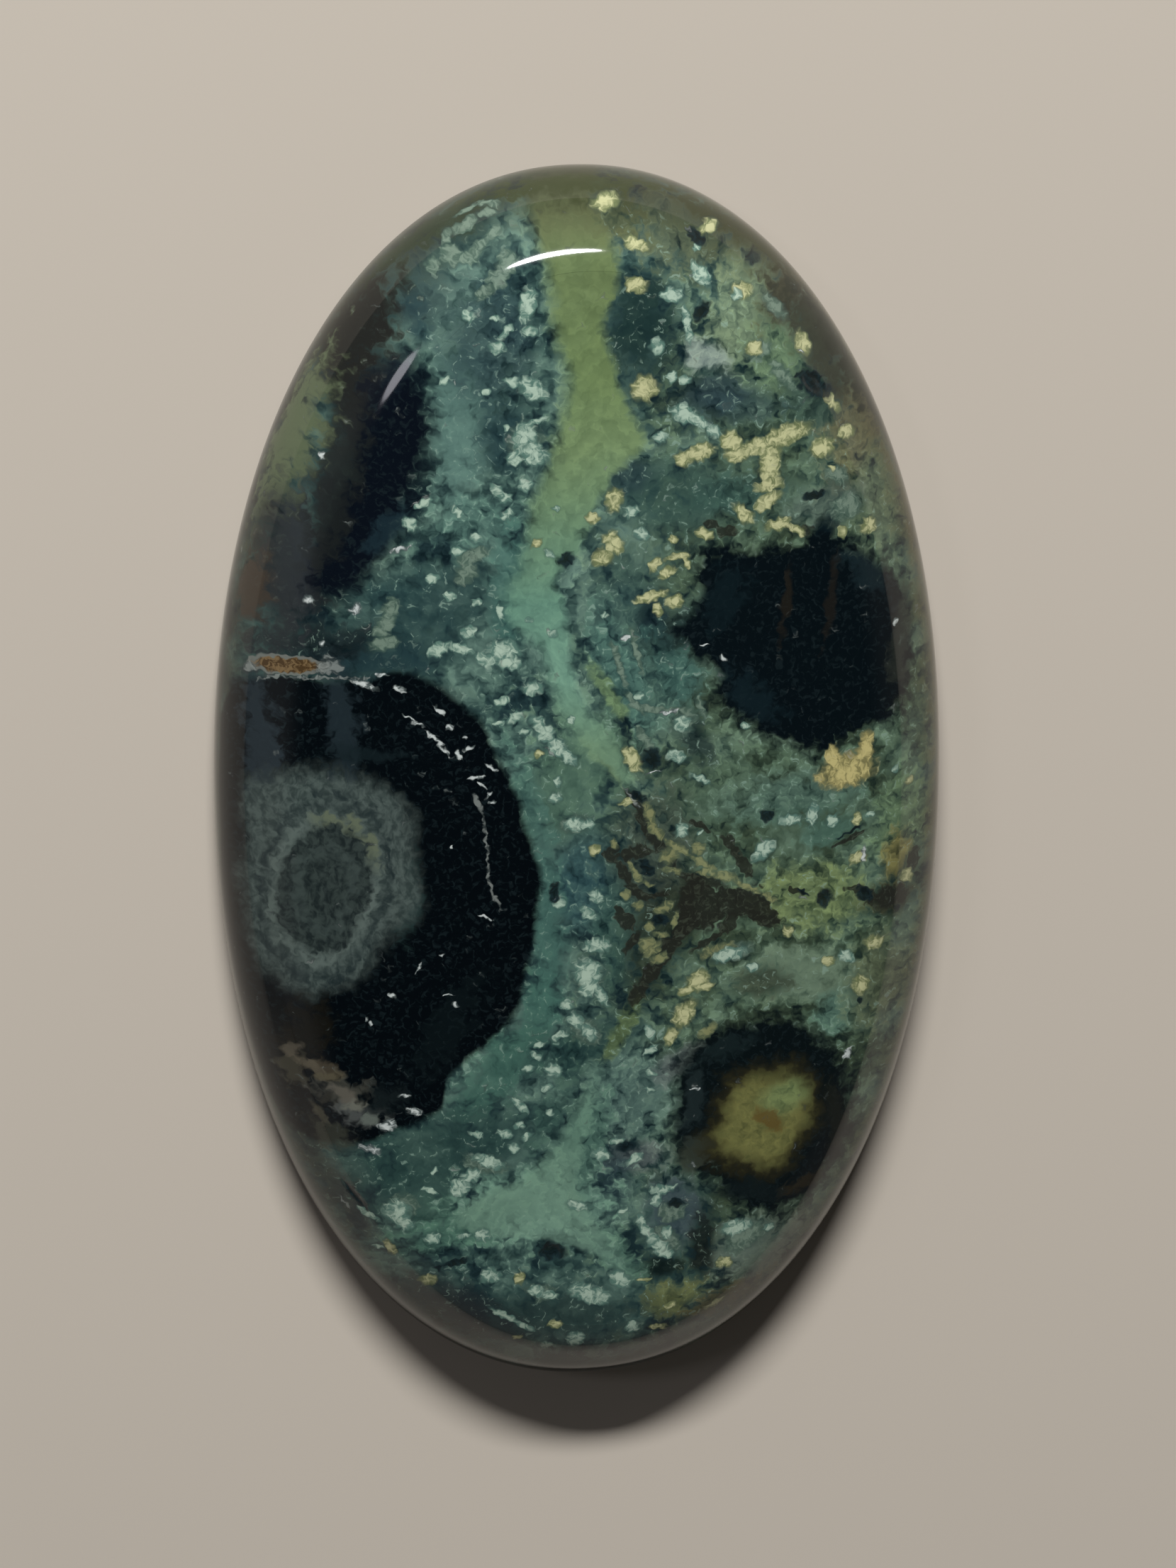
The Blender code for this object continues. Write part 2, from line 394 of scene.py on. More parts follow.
GREY_HEART_MM = (
    (-10.5, -2.4),
    [
        (-12.5, 2.3), (-10.5, 2.5), (-9.0, 2.2), (-8.0, 1.6), (-7.3, 0.6), (-6.95, -0.5),
        (-6.85, -2.0), (-6.9, -3.3), (-7.5, -4.3), (-8.4, -5.4), (-9.1, -6.1), (-9.9, -6.8),
        (-10.9, -7.2), (-12.0, -7.4), (-13.2, -6.8), (-14.0, -5.0), (-14.3, -2.0),
        (-14.1, 0.5), (-13.5, 1.8),
    ],
)  # fmt: skip
BROWN_WEDGE_MM = (
    (5.2, -3.5),
    [
        (3.6, -2.6), (4.2, -2.5), (4.8, -3.0), (5.5, -2.9), (6.2, -3.0), (6.8, -3.4),
        (7.2, -3.9), (7.5, -4.5), (6.6, -4.5), (6.0, -4.1), (5.3, -4.1), (4.6, -4.0),
        (4.0, -4.5), (3.5, -4.9), (3.3, -4.3), (3.4, -3.4),
    ],
)  # fmt: skip

# Flecks, by paint: (x, y, half length, half width, turn in degrees).
SAGE_FLECKS_MM = [
    (-4.6, 24.25, 0.5, 0.17, 32), (-3.9, 24.4, 0.45, 0.17, -12), (-3.85, 23.95, 0.35, 0.12, 10),
    (-4.75, 23.5, 0.5, 0.15, 30), (-5.35, 22.45, 0.42, 0.34, 20), (-4.75, 22.3, 0.42, 0.2, -10),
    (-4.3, 22.75, 0.5, 0.17, 42), (-3.75, 23.25, 0.42, 0.17, 40), (-5.5, 23.0, 0.3, 0.14, 60),
    (-3.3, 22.15, 0.5, 0.34, 50), (-3.65, 21.65, 0.42, 0.3, 40), (-4.15, 21.15, 0.42, 0.22, 35),
    (-6.1, 22.0, 0.3, 0.22, 60), (-5.1, 10.2, 0.5, 0.3, 40), (-8.05, 8.85, 0.36, 0.3, 60),
    (-8.3, 8.1, 0.5, 0.3, 60), (-8.4, 7.4, 0.55, 0.26, 12), (-4.8, 10.9, 0.55, 0.25, 20),
    (-2.7, 15.3, 0.7, 0.5, 80), (-7.9, -16.4, 0.6, 0.55, 30), (-0.95, 0.02, 0.5, 0.3, 10),
    (-0.35, -6.4, 0.7, 0.5, 75), (-4.5, -14.4, 0.8, 0.35, -15), (-0.5, -8.6, 0.75, 0.35, -48),
    (3.2, -16.9, 0.5, 0.4, 0), (3.0, -18.0, 0.6, 0.35, -50), (-2.2, -20.3, 0.6, 0.35, -15),
    (6.3, -18.3, 0.9, 0.5, 20), (5.6, -5.7, 0.7, 0.35, 8), (9.8, 13.6, 0.5, 0.3, -30),
    (10.2, 12.3, 0.6, 0.42, 10), (3.5, 4.0, 0.5, 0.4, 60), (4.2, 4.6, 0.4, 0.14, -70),
    (2.2, 4.6, 0.7, 0.12, -10), (3.2, 4.5, 0.5, 0.1, 0), (1.5, 4.9, 0.6, 0.12, -50),
    (1.9, 3.4, 0.6, 0.16, -60), (0.9, 6.4, 0.9, 0.12, -72), (1.6, 6.9, 0.8, 0.1, -76),
    (7.6, 17.6, 0.7, 0.24, -50), (6.6, 18.6, 0.5, 0.3, 20), (7.4, 20.2, 0.6, 0.22, -45),
]  # fmt: skip
MINT_FLECKS_MM = [
    (-4.85, 20.2, 0.22, 0.2, 0), (-3.8, 20.15, 0.17, 0.14, 0),
    (-2.55, 20.65, 0.58, 0.3, 80), (-2.45, 19.65, 0.22, 0.19, 0), (-3.4, 19.6, 0.36, 0.14, 50),
    (-3.75, 19.0, 0.27, 0.2, 10), (-3.25, 17.68, 0.28, 0.18, -30), (-2.4, 17.35, 0.6, 0.33, -30),
    (-4.2, 17.3, 0.16, 0.13, 0), (-5.85, 17.72, 0.26, 0.12, 30), (-2.4, 16.1, 0.42, 0.13, 20),
    (-2.75, 15.6, 0.5, 0.36, 60), (-2.45, 14.85, 0.52, 0.4, -20), (-3.15, 14.7, 0.3, 0.24, 0),
    (-3.45, 15.85, 0.12, 0.1, 0), (-2.75, 13.65, 0.25, 0.22, 0), (-3.85, 13.45, 0.3, 0.18, -40),
    (-3.5, 13.2, 0.24, 0.17, -30), (-3.45, 12.55, 0.24, 0.17, 20), (-5.35, 12.6, 0.28, 0.14, -35),
    (-4.7, 11.6, 0.22, 0.17, -30), (-5.4, 11.1, 0.2, 0.14, 0),
    (-6.45, 9.97, 0.24, 0.17, 0), (-5.75, 9.3, 0.22, 0.15, 0),
    (-4.7, 9.08, 0.2, 0.12, 0), (-3.8, 8.6, 0.34, 0.09, 95), (-5.0, 7.85, 0.27, 0.22, 0),
    (-6.25, 7.15, 0.42, 0.24, 22), (-5.35, 7.2, 0.42, 0.17, -20), (-3.75, 7.15, 0.55, 0.36, 0),
    (-3.4, 6.6, 0.36, 0.24, 0), (-4.4, 6.75, 0.42, 0.24, -20), (-2.55, 5.55, 0.4, 0.25, 0),
    (-3.75, 5.08, 0.3, 0.16, 15), (-3.3, 4.4, 0.3, 0.17, 35), (-3.9, 4.2, 0.2, 0.1, 0),
    (-2.9, 3.85, 0.22, 0.1, 0), (-2.35, 4.2, 0.3, 0.24, -30), (-2.05, 3.72, 0.4, 0.28, -48),
    (-1.65, 3.2, 0.4, 0.3, -40), (-1.15, 2.75, 0.32, 0.2, -45), (-1.05, 4.3, 0.16, 0.12, 0),
    (-1.8, 10.9, 0.24, 0.13, -35), (-1.55, 12.7, 0.12, 0.09, 0), (-2.7, 8.3, 0.12, 0.1, 0),
    (-1.75, 7.75, 0.17, 0.12, -20), (0.3, 8.4, 0.14, 0.12, 0), (1.45, 12.5, 0.28, 0.2, 30),
    (1.85, 11.6, 0.28, 0.2, -20), (3.15, 20.9, 0.4, 0.25, 0), (2.5, 18.95, 0.26, 0.28, 0),
    (3.1, 17.78, 0.17, 0.2, 0), (3.6, 17.6, 0.2, 0.14, 0), (3.72, 19.75, 0.62, 0.15, 98),
    (4.4, 21.6, 0.46, 0.27, -50), (4.3, 22.6, 0.16, 0.12, 0), (5.8, 20.8, 0.22, 0.2, 0),
    (3.6, 16.25, 0.5, 0.33, -20), (4.15, 15.95, 0.36, 0.18, -30), (4.75, 15.55, 0.26, 0.21, -30),
    (2.6, 15.4, 0.26, 0.2, 0), (1.7, 5.15, 0.16, 0.13, 0), (3.4, 3.95, 0.3, 0.3, 60),
    (3.2, 2.62, 0.36, 0.22, -12), (4.2, 1.65, 0.42, 0.12, -28), (3.4, -0.4, 0.26, 0.22, 0),
    (4.15, -0.6, 0.16, 0.08, 35), (-0.95, 0.02, 0.34, 0.24, 10), (-0.4, -0.02, 0.25, 0.17, 0),
    (-1.7, 1.1, 0.2, 0.2, 0), (-1.6, 1.75, 0.12, 0.18, 0), (-1.55, -3.3, 0.19, 0.15, 20),
    (-0.05, -3.05, 0.26, 0.24, 0), (-0.35, -3.75, 0.36, 0.2, -35), (-0.05, -5.08, 0.48, 0.25, 0),
    (-0.4, -6.2, 0.5, 0.5, 20), (-0.35, -6.85, 0.36, 0.4, 0), (0.15, -7.2, 0.46, 0.17, -62),
    (-1.25, -7.6, 0.22, 0.21, 0), (-0.85, -8.25, 0.36, 0.24, -40), (-0.35, -8.75, 0.4, 0.24, -50),
    (-1.5, -8.9, 0.28, 0.16, 15), (-2.35, -9.3, 0.17, 0.15, 0), (-2.5, -9.75, 0.24, 0.12, -50),
    (-2.8, -10.3, 0.2, 0.15, 0), (-1.75, -10.4, 0.28, 0.24, -10), (-2.05, -11.15, 0.22, 0.14, 20),
    (-3.1, -11.9, 0.42, 0.14, -42), (-1.9, -12.2, 0.14, 0.12, 0), (-3.15, -12.75, 0.22, 0.17, 0),
    (-3.7, -13.1, 0.3, 0.17, -20), (-4.9, -13.1, 0.26, 0.13, -10), (-2.85, -13.2, 0.26, 0.16, 40),
    (-3.35, -13.75, 0.22, 0.17, 0), (-4.4, -14.3, 0.6, 0.24, -20), (-5.1, -14.95, 0.34, 0.26, 20),
    (-5.5, -15.4, 0.4, 0.32, 20), (-6.6, -14.7, 0.14, 0.12, 0), (-6.75, -15.6, 0.36, 0.11, -25),
    (2.15, -8.9, 0.3, 0.15, -60), (2.25, -10.7, 0.22, 0.11, -20), (2.15, -11.4, 0.22, 0.09, -10),
    (0.85, -13.6, 0.27, 0.12, 5), (0.25, -14.15, 0.36, 0.22, -10), (1.6, -14.4, 0.3, 0.15, 30),
    (2.75, -15.85, 0.48, 0.2, 5), (2.5, -16.3, 0.22, 0.17, 60), (-0.7, -16.4, 0.42, 0.18, -15),
    (1.1, -16.7, 0.2, 0.12, 20), (1.9, -17.2, 0.24, 0.14, -60), (2.1, -17.65, 0.34, 0.17, -45),
    (2.65, -18.4, 0.6, 0.26, -48), (3.0, -18.8, 0.26, 0.2, 0), (3.0, -17.8, 0.2, 0.26, 0),
    (-4.65, -17.55, 0.26, 0.22, -30), (-5.35, -17.6, 0.22, 0.1, 8), (-6.65, -17.75, 0.3, 0.22, 0),
    (-8.8, -18.5, 0.22, 0.12, 0), (-4.3, -19.45, 0.36, 0.32, 0), (-2.4, -20.2, 0.3, 0.24, -10),
    (-1.85, -20.4, 0.32, 0.18, -15), (1.0, -19.8, 0.5, 0.28, -45), (-0.75, -22.6, 0.34, 0.33, 0),
    (1.6, -22.1, 0.25, 0.26, 0), (-1.9, -22.9, 0.24, 0.2, 0), (7.3, -18.0, 0.22, 0.13, 0),
    (5.9, -17.8, 0.5, 0.3, 10), (7.9, -0.3, 0.38, 0.19, 8), (8.85, -0.15, 0.4, 0.19, 80),
    (9.7, -0.45, 0.24, 0.24, 0), (11.3, -0.35, 0.16, 0.14, 0), (6.8, -1.5, 0.5, 0.27, 40),
    (10.4, -6.3, 0.36, 0.19, -28), (6.4, -6.4, 0.2, 0.19, 0), (5.4, -5.75, 0.62, 0.26, 8),
    (12.35, 1.35, 0.13, 0.15, 0), (6.0, 3.7, 0.16, 0.13, 0), (-6.8, 12.95, 0.4, 0.12, 30),
    (-7.25, 12.15, 0.22, 0.26, 40), (2.2, -9.7, 0.3, 0.16, 30), (-9.2, -16.9, 0.48, 0.14, -32),
    (-8.1, -16.6, 0.46, 0.48, 30), (-7.9, -17.05, 0.42, 0.3, -20), (-0.2, -20.4, 0.8, 0.36, -20),
    (-3.7, -21.35, 0.6, 0.12, -32), (-2.9, -21.85, 0.46, 0.11, -28),
]  # fmt: skip
OLIVE_FLECKS_MM = [
    (2.1, 0.35, 0.38, 0.19, -75), (2.35, -0.4, 0.42, 0.16, -50), (2.9, -1.45, 0.36, 0.26, 40),
    (3.0, -2.05, 0.36, 0.13, -10), (1.5, -2.05, 0.42, 0.14, -60), (2.05, -2.6, 0.26, 0.11, -10),
    (4.1, -1.2, 0.22, 0.24, 0), (5.2, -2.45, 0.56, 0.19, -12), (4.4, -2.2, 0.31, 0.12, 10),
    (1.65, -3.5, 0.19, 0.19, 0), (2.7, -3.6, 0.34, 0.18, 20), (2.15, -4.35, 0.19, 0.16, 0),
    (2.6, -4.75, 0.34, 0.12, -15), (3.15, -4.2, 0.36, 0.1, 75), (2.1, -5.25, 0.42, 0.34, -10),
    (2.5, -5.75, 0.31, 0.19, 20), (0.7, -0.85, 0.2, 0.16, -50), (1.15, -3.0, 0.2, 0.18, 0),
    (2.1, 0.3, 0.4, 0.1, -80), (2.3, -0.4, 0.45, 0.12, -50), (3.2, -1.1, 0.6, 0.12, -35),
    (4.3, -1.85, 0.6, 0.13, -32), (6.1, -2.95, 0.6, 0.1, -28), (7.1, -3.5, 0.4, 0.12, -30),
    (5.0, -5.6, 0.7, 0.3, 10), (4.6, -9.0, 0.4, 0.2, 40),
]  # fmt: skip
TAN_FLECKS_MM = [
    (0.75, 24.35, 0.46, 0.28, 8), (1.75, 22.85, 0.42, 0.22, -14), (1.75, 21.35, 0.4, 0.28, -10),
    (2.0, 17.35, 0.47, 0.45, 0), (5.45, 15.1, 0.42, 0.36, -50), (5.7, 14.6, 0.38, 0.28, 0),
    (4.15, 14.75, 0.6, 0.28, 12), (3.5, 14.5, 0.26, 0.32, 0), (6.5, 14.9, 0.6, 0.3, 15),
    (7.6, 15.25, 1.0, 0.34, 16), (7.0, 14.2, 0.75, 0.4, 86), (7.0, 13.35, 0.5, 0.24, 8),
    (6.95, 12.72, 0.52, 0.24, 32), (9.2, 14.7, 0.46, 0.34, 20), (10.3, 15.15, 0.32, 0.24, 0),
    (8.55, 18.7, 0.42, 0.3, -60), (6.4, 18.7, 0.3, 0.27, 0), (6.0, 20.9, 0.42, 0.28, 0),
    (4.9, 23.3, 0.4, 0.2, 20), (9.7, 16.4, 0.5, 0.16, -50), (9.6, 13.85, 0.18, 0.08, -35),
    (5.95, 12.25, 0.42, 0.24, -48), (7.35, 11.78, 0.46, 0.22, 8), (8.15, 11.5, 0.34, 0.17, -25),
    (10.05, 11.25, 0.15, 0.22, 20), (11.2, 11.4, 0.34, 0.28, 0), (0.75, 13.0, 0.42, 0.3, 72),
    (-0.1, 12.3, 0.22, 0.2, 0), (0.7, 11.3, 0.42, 0.28, -55), (0.25, 10.72, 0.36, 0.32, 0),
    (4.35, 11.5, 0.36, 0.22, -30), (3.1, 11.35, 0.16, 0.14, 0), (2.35, 10.4, 0.32, 0.18, 50),
    (2.85, 10.05, 0.36, 0.2, 30), (3.25, 10.65, 0.46, 0.12, 12), (3.62, 10.4, 0.26, 0.1, -70),
    (2.2, 9.12, 0.6, 0.18, 12), (3.15, 8.9, 0.3, 0.25, 10), (2.45, 8.6, 0.17, 0.26, 0),
    (1.4, 2.6, 0.5, 0.26, -58), (1.2, 0.85, 0.36, 0.12, 15), (4.15, -6.8, 0.42, 0.36, 30),
    (3.65, -7.2, 0.32, 0.16, 20), (4.5, -7.05, 0.24, 0.2, 0), (3.6, -8.2, 0.56, 0.36, 58),
    (3.05, -9.15, 0.34, 0.22, 60), (7.85, -5.0, 0.2, 0.24, 0), (10.8, -2.15, 0.34, 0.22, 10),
    (11.6, -5.85, 0.36, 0.26, 0), (11.0, -7.6, 0.34, 0.36, 0), (13.1, -3.3, 0.34, 0.22, -40),
    (9.6, -6.4, 0.24, 0.16, 0), (10.75, -0.5, 0.17, 0.28, 0), (13.1, 0.7, 0.22, 0.14, 20),
    (-8.35, -18.4, 0.32, 0.18, -60), (-6.8, -19.8, 0.32, 0.24, 10), (-3.1, -19.55, 0.2, 0.24, 0),
    (-1.6, -21.8, 0.27, 0.19, 0), (-3.15, -22.5, 0.17, 0.14, 0),
    (5.45, -19.4, 0.3, 0.22, 0), (2.7, -22.2, 0.4, 0.14, -8), (5.2, -21.4, 0.44, 0.17, 25),
    (3.2, -21.15, 0.2, 0.18, 0), (2.1, -19.9, 0.25, 0.08, 0), (-2.35, 2.95, 0.17, 0.15, 0),
    (-2.35, 11.35, 0.22, 0.12, 35), (-0.1, -1.1, 0.2, 0.2, 0),
]  # fmt: skip
YELLOW_CROWN_MM = [
    (10.3, 1.5, 1.05, 0.56, 6),
    (9.72, 2.1, 0.55, 0.26, 100),
    (11.08, 2.35, 0.62, 0.3, 84),
]
# A crack and other pale lines, among them three painted highlights: the hazy patch at (-10.6,
# 6.45), the thin glint at (2.3, 2.05) and the bright line beside the slot pit at (-10.2, -16.5).
CRACK_AND_HIGHLIGHTS_MM = [
    (-4.78, 0.95, 0.45, 0.09, -62), (-4.55, 0.25, 0.4, 0.07, -80), (-4.45, -0.5, 0.55, 0.05, -84),
    (-4.38, -1.5, 0.6, 0.055, -87), (-4.28, -2.4, 0.42, 0.08, -78), (-4.05, -3.05, 0.26, 0.07, -58),
    (-10.3, 6.0, 0.9, 0.06, 0), (-11.2, 5.95, 1.0, 0.05, 2), (-12.7, 5.82, 0.5, 0.05, 18),
    (-9.4, 5.8, 0.6, 0.05, -14), (-13.55, 6.12, 0.16, 0.12, 20), (-10.6, 6.45, 0.42, 0.34, 10),
    (-1.9, 3.0, 0.3, 0.04, -50), (2.3, 2.05, 0.36, 0.035, 12), (1.3, 1.15, 0.5, 0.05, -60),
    (-7.0, 13.0, 0.45, 0.06, 32), (8.5, -3.6, 0.22, 0.05, -30), (-10.2, -16.5, 0.5, 0.05, -52),
]  # fmt: skip
# Painted highlights: bright glints painted where small pits and edges in the black areas catch the
# light.
GLINTS_MM = [
    (-7.4, 4.4, 0.3, 0.06, -20), (-7.0, 4.15, 0.26, 0.07, -20), (-6.5, 3.65, 0.42, 0.06, -40),
    (-6.1, 3.15, 0.3, 0.07, -50), (-5.88, 4.05, 0.18, 0.1, 30), (-6.25, 4.75, 0.24, 0.06, -45),
    (-5.5, 2.9, 0.08, 0.16, 30), (-5.1, 3.2, 0.2, 0.06, 20), (-4.8, 2.0, 0.3, 0.06, 10),
    (-4.55, 1.65, 0.22, 0.06, -40), (-4.3, 1.3, 0.18, 0.07, 50), (-4.2, 1.0, 0.16, 0.06, 10),
    (-4.25, 2.42, 0.3, 0.07, -28), (-5.2, 3.6, 0.09, 0.06, 0), (-6.25, -5.4, 0.1, 0.06, 20),
    (-9.25, -8.17, 0.11, 0.08, 20), (-9.08, -8.3, 0.09, 0.06, 0), (-8.2, -7.15, 0.17, 0.08, -40),
    (-6.05, -7.1, 0.22, 0.035, 8), (-5.7, -7.5, 0.14, 0.1, -30), (-7.35, -12.1, 0.22, 0.17, -30),
    (-7.82, -11.42, 0.2, 0.06, 8), (-8.45, -12.75, 0.3, 0.2, 20), (-9.2, -13.8, 0.36, 0.14, -12),
    (-8.4, 6.15, 0.24, 0.07, -5), (-7.8, 5.6, 0.25, 0.1, -30), (-9.45, 8.75, 0.26, 0.16, 35),
    (-7.7, 11.15, 0.34, 0.07, 12), (-10.6, 14.7, 0.13, 0.12, 40), (-10.75, 7.35, 0.1, 0.09, 0),
    (-9.1, 5.72, 0.42, 0.1, -22), (2.9, 4.45, 0.36, 0.05, 6), (2.3, 2.05, 0.34, 0.03, 12),
    (1.1, 7.5, 0.14, 0.06, 20), (4.35, 7.1, 0.16, 0.03, -5), (5.05, 6.55, 0.2, 0.08, -35),
    (10.55, -10.55, 0.2, 0.15, 60), (4.0, -11.5, 0.22, 0.03, 0), (12.4, 7.4, 0.14, 0.1, 30),
    (-5.8, -0.85, 0.08, 0.08, 0), (-4.5, -3.8, 0.26, 0.04, -20), (-7.15, -5.9, 0.22, 0.05, 60),
    (-11.3, 9.1, 0.16, 0.14, 0), (11.05, -2.05, 0.28, 0.08, 85), (8.45, 18.4, 0.17, 0.05, -35),
]  # fmt: skip
DARK_HOLES_MM = [
    (9.4, -3.7, 0.36, 0.29, 40), (-1.8, -18.4, 0.46, 0.38, -30), (-9.78, -16.05, 0.64, 0.14, -52),
    (-1.75, -2.85, 0.38, 0.19, 75), (-1.2, 10.65, 0.34, 0.27, 0), (4.3, 20.25, 0.36, 0.24, 60),
    (4.35, 22.95, 0.32, 0.2, -30), (1.3, -13.85, 0.46, 0.19, 12), (8.9, 17.2, 0.74, 0.4, -38),
    (3.3, -16.5, 0.26, 0.2, 0), (7.0, 0.0, 0.24, 0.2, 0), (2.55, -4.15, 0.28, 0.2, 10),
    (1.95, -1.85, 0.36, 0.24, -50), (-5.8, -18.85, 0.5, 0.12, 15), (11.1, -3.7, 0.3, 0.24, -30),
    (2.2, 2.55, 0.34, 0.36, 0), (11.0, -8.3, 0.13, 0.17, 30), (9.0, 12.85, 0.42, 0.15, 8),
    (10.5, -1.0, 0.6, 0.08, 24), (8.5, -3.4, 0.28, 0.06, -28),
    (1.6, 1.1, 0.3, 0.16, -30),
]  # fmt: skip

# Calm places, where the ground is hardly mottled.
CALM_MM = [
    (-1.6, -20.9, 5.0, 1.8, 0), (3.4, -17.6, 2.0, 2.0, 90),
    (-6.6, -14.6, 4.2, 1.8, 20), (2.4, 11.6, 3.0, 1.8, 60), (-5.5, 8.2, 3.6, 1.9, 20),
    (-5.3, 15.8, 3.2, 1.3, 86), (-1.95, -4.4, 4.2, 0.9, 92), (-2.6, -8.2, 2.4, 1.0, 66),
    (-3.0, -16.4, 3.4, 1.4, 8), (-3.3, 9.6, 2.4, 1.0, 84), (-1.0, 1.0, 2.6, 1.6, 70),
    (-4.6, -11.4, 3.4, 1.1, 48), (8.6, -6.8, 2.2, 1.2, -10), (6.8, -18.9, 1.8, 1.2, 10),
    (1.7, 19.7, 1.8, 1.1, 90), (8.8, -0.8, 2.2, 1.0, 5), (-6.9, 21.4, 1.5, 1.2, 60),
    (-9.6, 19.4, 2.4, 1.7, 60), (8.5, 20.9, 1.9, 1.0, 45),
]  # fmt: skip

# Brown seams, the same way.
BROWN_SEAMS_MM = [
    (1.5, 0.9, 0.6, 0.2, -60), (1.9, 0.0, 0.7, 0.28, -75), (2.4, -0.8, 0.5, 0.3, -40),
    (1.4, -1.3, 0.8, 0.28, 8), (0.6, -1.1, 0.4, 0.2, 30), (1.1, -2.1, 0.5, 0.2, -70),
    (1.6, -2.9, 0.6, 0.18, -40), (5.8, -1.7, 1.2, 0.22, -56), (3.0, -1.7, 0.5, 0.16, -60),
    (4.3, -2.5, 0.8, 0.22, -20), (3.7, -3.3, 0.7, 0.34, 70), (3.5, -4.4, 0.7, 0.36, 50),
    (2.9, -5.3, 0.8, 0.34, 58), (2.3, -6.3, 0.8, 0.3, 52), (1.7, -7.2, 0.6, 0.26, 48),
    (1.2, -4.1, 0.6, 0.24, -50), (2.2, -3.1, 0.5, 0.14, 10), (1.4, -5.0, 0.5, 0.2, 60),
    (5.4, -4.4, 0.5, 0.24, 60), (4.6, -5.1, 0.8, 0.14, 28), (6.6, -4.3, 0.4, 0.2, -40),
    (8.2, -3.3, 0.5, 0.1, -20), (10.9, -3.5, 0.6, 0.14, -10), (12.2, -4.0, 0.9, 0.42, -10),
    (13.4, -2.7, 0.5, 0.3, 80), (4.6, 11.9, 0.3, 0.2, 0), (5.3, 11.6, 0.34, 0.26, 0),
    (8.2, 11.5, 0.5, 0.2, -15), (4.2, -0.3, 0.5, 0.12, -30), (10.4, -1.3, 0.8, 0.1, 24),
]  # fmt: skip


def filleted(corner, before, after, radius):
    """The corner rounded with an arc of this radius that touches both of its sides."""
    to_before = (before - corner).normalized()
    to_after = (after - corner).normalized()
    half_angle = to_before.angle(to_after) / 2
    reach = radius / math.tan(half_angle)
    centre = corner + (to_before + to_after).normalized() * (radius / math.sin(half_angle))
    start = corner + to_before * reach - centre
    end = corner + to_after * reach - centre
    turn = start.angle(end)
    steps = max(2, math.ceil(turn / ARC_STEP))
    points = []
    for i in range(steps + 1):
        share = i / steps
        weights = math.sin((1 - share) * turn), math.sin(share * turn)
        points.append(centre + (start * weights[0] + end * weights[1]) / math.sin(turn))
    return points


def crown_arc(half_width, thickness):
    """The crown, from the middle out to the shoulder: a large circle, level at the middle."""
    reach = half_width - SHOULDER_INSET
    rise = thickness - SHOULDER_HEIGHT
    radius = (reach**2 + rise**2) / (2 * rise)
    widest = math.asin(reach / radius)
    points = []
    for i in range(CROWN_RINGS + 1):
        angle = widest * i / CROWN_RINGS
        inset = half_width - radius * math.sin(angle)
        points.append(Vector((inset, thickness - radius * (1 - math.cos(angle)))))
    return points


def evenly(start, end, step):
    """Points on a straight line, ends left out, no further apart than the step."""
    count = math.ceil((end - start).length / step)
    return [start.lerp(end, i / count) for i in range(1, count)]


def section(half_width, thickness):
    """The cross-section from the crown's middle down to the back's middle, each point as
    (distance in from the rim, height)."""
    crown = crown_arc(half_width, thickness)
    shoulder = crown[-1]
    girdle_top = Vector((0.0, GIRDLE_TOP))
    girdle_foot = Vector((0.0, BACK_BEVEL))
    back_edge = Vector((BACK_BEVEL, 0.0))
    back_middle = Vector((half_width, 0.0))
    rounded_shoulder = filleted(shoulder, crown[-2], girdle_top, SHOULDER_RADIUS)
    rounded_girdle = filleted(girdle_top, shoulder, girdle_foot, GIRDLE_RADIUS)
    rounded_foot = filleted(girdle_foot, girdle_top, back_edge, BACK_BEVEL_RADIUS)
    return [
        *[p for p in crown if p.x > rounded_shoulder[0].x],
        *rounded_shoulder,
        *evenly(rounded_shoulder[-1], rounded_girdle[0], WALL_STEP),
        *rounded_girdle,
        *rounded_foot,
        back_edge,
        *evenly(back_edge, back_middle, BACK_STEP),
        back_middle,
    ]


def rim_point(angle, half_width, half_length):
    """(point on the rim, its inward direction), in plan, at this angle round the stone."""
    aim = Vector((half_width * math.cos(angle), half_length * math.sin(angle)))
    across = abs(aim.x / half_width)
    along = abs(aim.y / half_length)
    point = aim / (across**OVAL_POWER + along**OVAL_POWER) ** (1 / OVAL_POWER)
    outward = Vector(
        (
            math.copysign(abs(point.x / half_width) ** (OVAL_POWER - 1) / half_width, point.x),
            math.copysign(abs(point.y / half_length) ** (OVAL_POWER - 1) / half_length, point.y),
        )
    )
    return point, -outward.normalized()


def oval_point(angle, inset, half_width, half_length):
    """Where a point this far in from the rim lies in plan."""
    point, inward = rim_point(angle, half_width, half_length)
    along_rim = point + inward * inset
    towards_middle = point * (1 - inset / half_width)
    share = (inset - RING_BLEND_START) / (RING_BLEND_END - RING_BLEND_START)
    share = min(max(share, 0.0), 1.0)
    share = share * share * (3 - 2 * share)
    return along_rim.lerp(towards_middle, share)


def turned_blank(half_width, thickness):
    """A round blank: the section spun a full turn, as wide as the stone is."""
    blank = bmesh.new()
    points = section(half_width, thickness)
    profile = [blank.verts.new((half_width - inset, 0.0, height)) for inset, height in points]
    edges = [blank.edges.new(pair) for pair in zip(profile, profile[1:])]
    bmesh.ops.spin(
        blank,
        geom=profile + edges,
        cent=(0, 0, 0),
        axis=(0, 0, 1),
        angle=math.tau,
        steps=SEGMENTS,
        use_merge=True,
    )
    bmesh.ops.remove_doubles(blank, verts=blank.verts, dist=SMALLEST_GAP)
    bmesh.ops.recalc_face_normals(blank, faces=blank.faces)
    return blank


